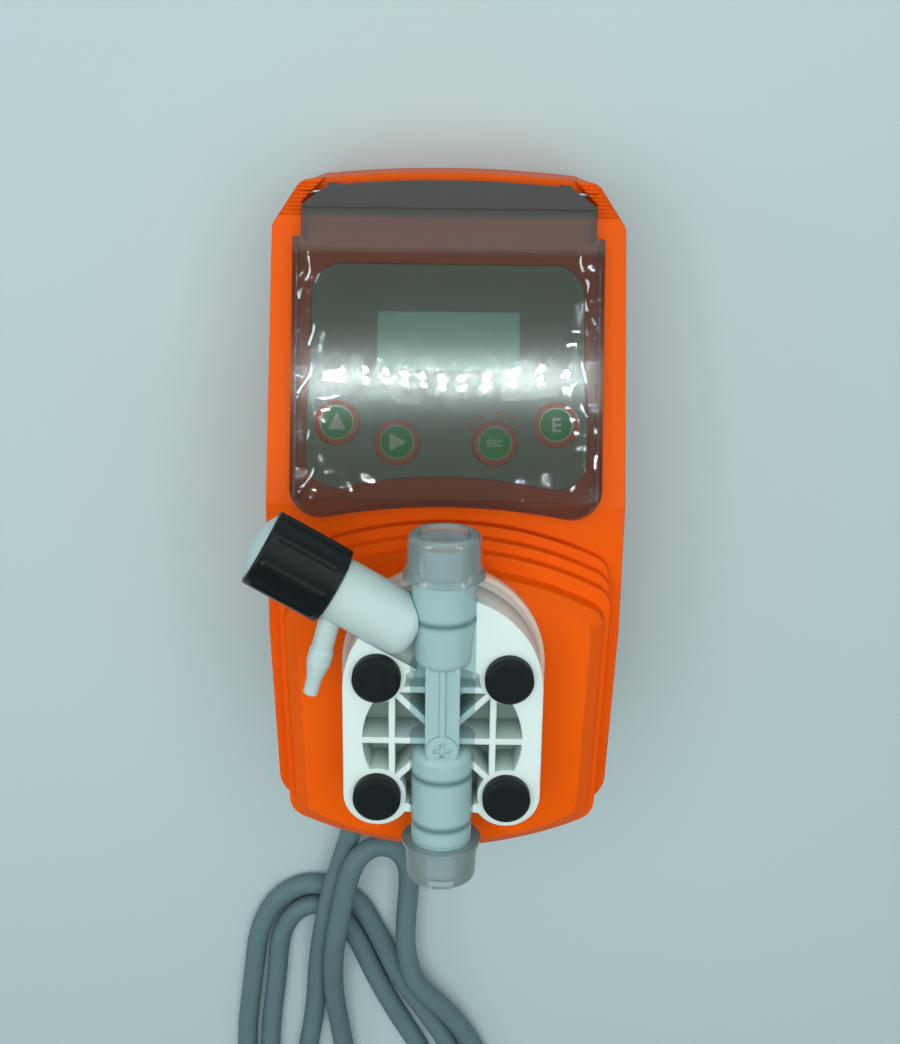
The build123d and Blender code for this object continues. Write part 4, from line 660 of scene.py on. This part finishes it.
# %% Head and valves
MILKY = linear(217, 232, 228)
SEAL_BANDS = (-14.5, -61.8, -76.8)       # mm along Y, where the O-rings show through


def milky_plastic(slot_name, colour, roughness, bands=True, glow=0.0):
    """Translucent white plastic with the dark O-rings showing through as soft bands.

    The tubes, whose dark water ways show through, are painted a little darker and greener than the
    rest, as painted shade. A band's strength falls off as a bell curve in y about its ring,
    exp(-((y - y0) / w)^2). Both are kept to the tubes, within 9.3 mm of the valve axis. With `glow`,
    the foot of the piece is painted with warm light from the housing, and the head's pockets are
    painted darker towards their floor, as painted shade.
    """
    material, tree, shader = new_material(
        slot_name, colour, roughness, Subsurface_Weight=0.35, Subsurface_Scale=0.003,
        Subsurface_Radius=(1.0, 1.0, 1.0), Specular_IOR_Level=0.4,
    )
    xyz = add_node(tree, "ShaderNodeSeparateXYZ", {0: place_of(tree)})
    total = None
    for centre in SEAL_BANDS if bands else ():
        away = calc(tree, "MULTIPLY", calc(tree, "SUBTRACT", xyz.outputs["Y"], centre / 1000), 1 / 0.0010)
        band = calc(tree, "POWER", math.e, calc(tree, "MULTIPLY", calc(tree, "MULTIPLY", away, away), -1.0))
        total = band if total is None else calc(tree, "ADD", total, band)
    tinted = colour
    if glow:
        low = add_node(
            tree, "ShaderNodeMapRange",
            {"Value": xyz.outputs["Z"], "From Min": 0.1145, "From Max": 0.1215, "To Min": glow,
             "To Max": 0.0},
        ).outputs[0]
        tinted = mix_colours(tree, low, tinted, linear(232, 150, 96))
        # Painted shade: inside the head's pockets the colour turns darker and greener towards the pocket
        # floor.
        pocket = add_node(
            tree, "ShaderNodeMapRange",
            {"Value": xyz.outputs["Z"], "From Min": 0.1238, "From Max": 0.132, "To Min": 0.85, "To Max": 0.0},
        ).outputs[0]
        above_floor = calc(tree, "GREATER_THAN", xyz.outputs["Z"], 0.1236)
        tinted = mix_colours(tree, calc(tree, "MULTIPLY", pocket, above_floor), tinted, linear(126, 146, 142))
    height = calc(tree, "SUBTRACT", xyz.outputs["Z"], VALVE_Z)
    square = calc(
        tree, "ADD", calc(tree, "MULTIPLY", xyz.outputs["X"], xyz.outputs["X"]),
        calc(tree, "MULTIPLY", height, height),
    )
    within = calc(tree, "LESS_THAN", square, 0.0093**2)
    # Painted shade: within 9.3 mm of the valve axis the colour turns darker and greener, where the hollow
    # water ways show through the milky wall.
    tinted = mix_colours(tree, calc(tree, "MULTIPLY", within, 0.65), tinted, linear(112, 160, 163))
    if total is not None:
        strength = calc(tree, "MULTIPLY", calc(tree, "MULTIPLY", total, within), 0.72)
        tinted = mix_colours(tree, strength, tinted, linear(40, 84, 92))
    if tinted is not colour:
        tree.links.new(tinted, shader.inputs["Base Color"])
    moulded(tree, shader, 3600.0, 0.00001, 0.0005)
    return material


materials["head_white"] = milky_plastic("head_white", MILKY, 0.36, glow=0.75)
materials["valve_white"] = milky_plastic("valve_white", linear(186, 206, 204), 0.34)
materials["disc_pale"] = milky_plastic("disc_pale", linear(186, 204, 206), 0.36, bands=False)
materials["ball_ceramic"], tree, shader = new_material("ball_ceramic", linear(240, 240, 236), 0.12)
mottled(tree, shader, linear(224, 226, 224), 400.0, 0.4)
materials["seal_teal"], tree, shader = new_material("seal_teal", linear(24, 66, 72), 0.5)
moulded(tree, shader, 5000.0, 0.00001, 0.0)
materials["cap_clear"] = clear_sheet("cap_clear", linear(222, 236, 238), 0.34, 0.16, 1.45, 700.0, 0.00005)
materials["cap_black"], tree, shader = new_material(
    "cap_black", linear(13, 20, 22), 0.55, Specular_IOR_Level=0.25
)
moulded(tree, shader, 3800.0, 0.00005, 0.0006)
mottled(tree, shader, linear(30, 37, 39), 500.0, 0.6)
materials["knob_black"], tree, shader = new_material(
    "knob_black", linear(11, 18, 19), 0.36, Specular_IOR_Level=0.3
)
moulded(tree, shader, 2600.0, 0.00005, 0.0006)
mottled(tree, shader, linear(26, 34, 35), 300.0, 0.6)
print("head and valve materials made")

# %% [markdown]
# The lead has a dull, slightly uneven grey sheath. The strain relief is black rubber with ribs.

# %% Lead materials
materials["cord_grey"], tree, shader = new_material(
    "cord_grey", linear(102, 130, 135), 0.55, Specular_IOR_Level=0.3
)
moulded(tree, shader, 2400.0, 0.00004, 0.0)
mottled(tree, shader, linear(84, 110, 114), 120.0, 0.6)
materials["gland_black"], tree, shader = new_material("gland_black", linear(20, 23, 25), 0.45)
moulded(tree, shader, 3200.0, 0.00004, 0.0005)
ribs = add_node(
    tree, "ShaderNodeTexWave", {"Vector": place_of(tree), "Scale": 105.0}, bands_direction="Y"
).outputs["Fac"]
rib_bump = add_node(
    tree, "ShaderNodeBump",
    {"Height": ribs, "Distance": 0.0004, "Strength": 0.7,
     "Normal": shader.inputs["Normal"].links[0].from_socket},
)
tree.links.new(rib_bump.outputs["Normal"], shader.inputs["Normal"])
print("lead materials made")

# %% [markdown]
# Each node takes the material of its slot in the record. The keys each have one of their own.

# %% Materials onto nodes and pieces
slot_of = {entry["node"]: entry["material_slot"] for entry in frame["record"]["subparts"]}
for name, node in nodes.items():
    node.data.materials.clear()
    node.data.materials.append(materials[slot_of[name]])
for key, material in key_materials.items():
    nodes[f"{key}_button"].data.materials[0] = material
for piece, slot_name in (
    (mains_lead, "cord_grey"), (film, "film_clear"), (outlet_thread, "valve_white"),
    (inlet_thread, "valve_white"), (on_off, "key_green"),
):
    piece.data.materials.append(materials[slot_name])
for piece in symbol_pieces:
    piece.data.materials.append(symbol_pale)
print(len(nodes), "nodes and", 5 + len(symbol_pieces), "pieces dressed in", len(materials) + 5, "materials")
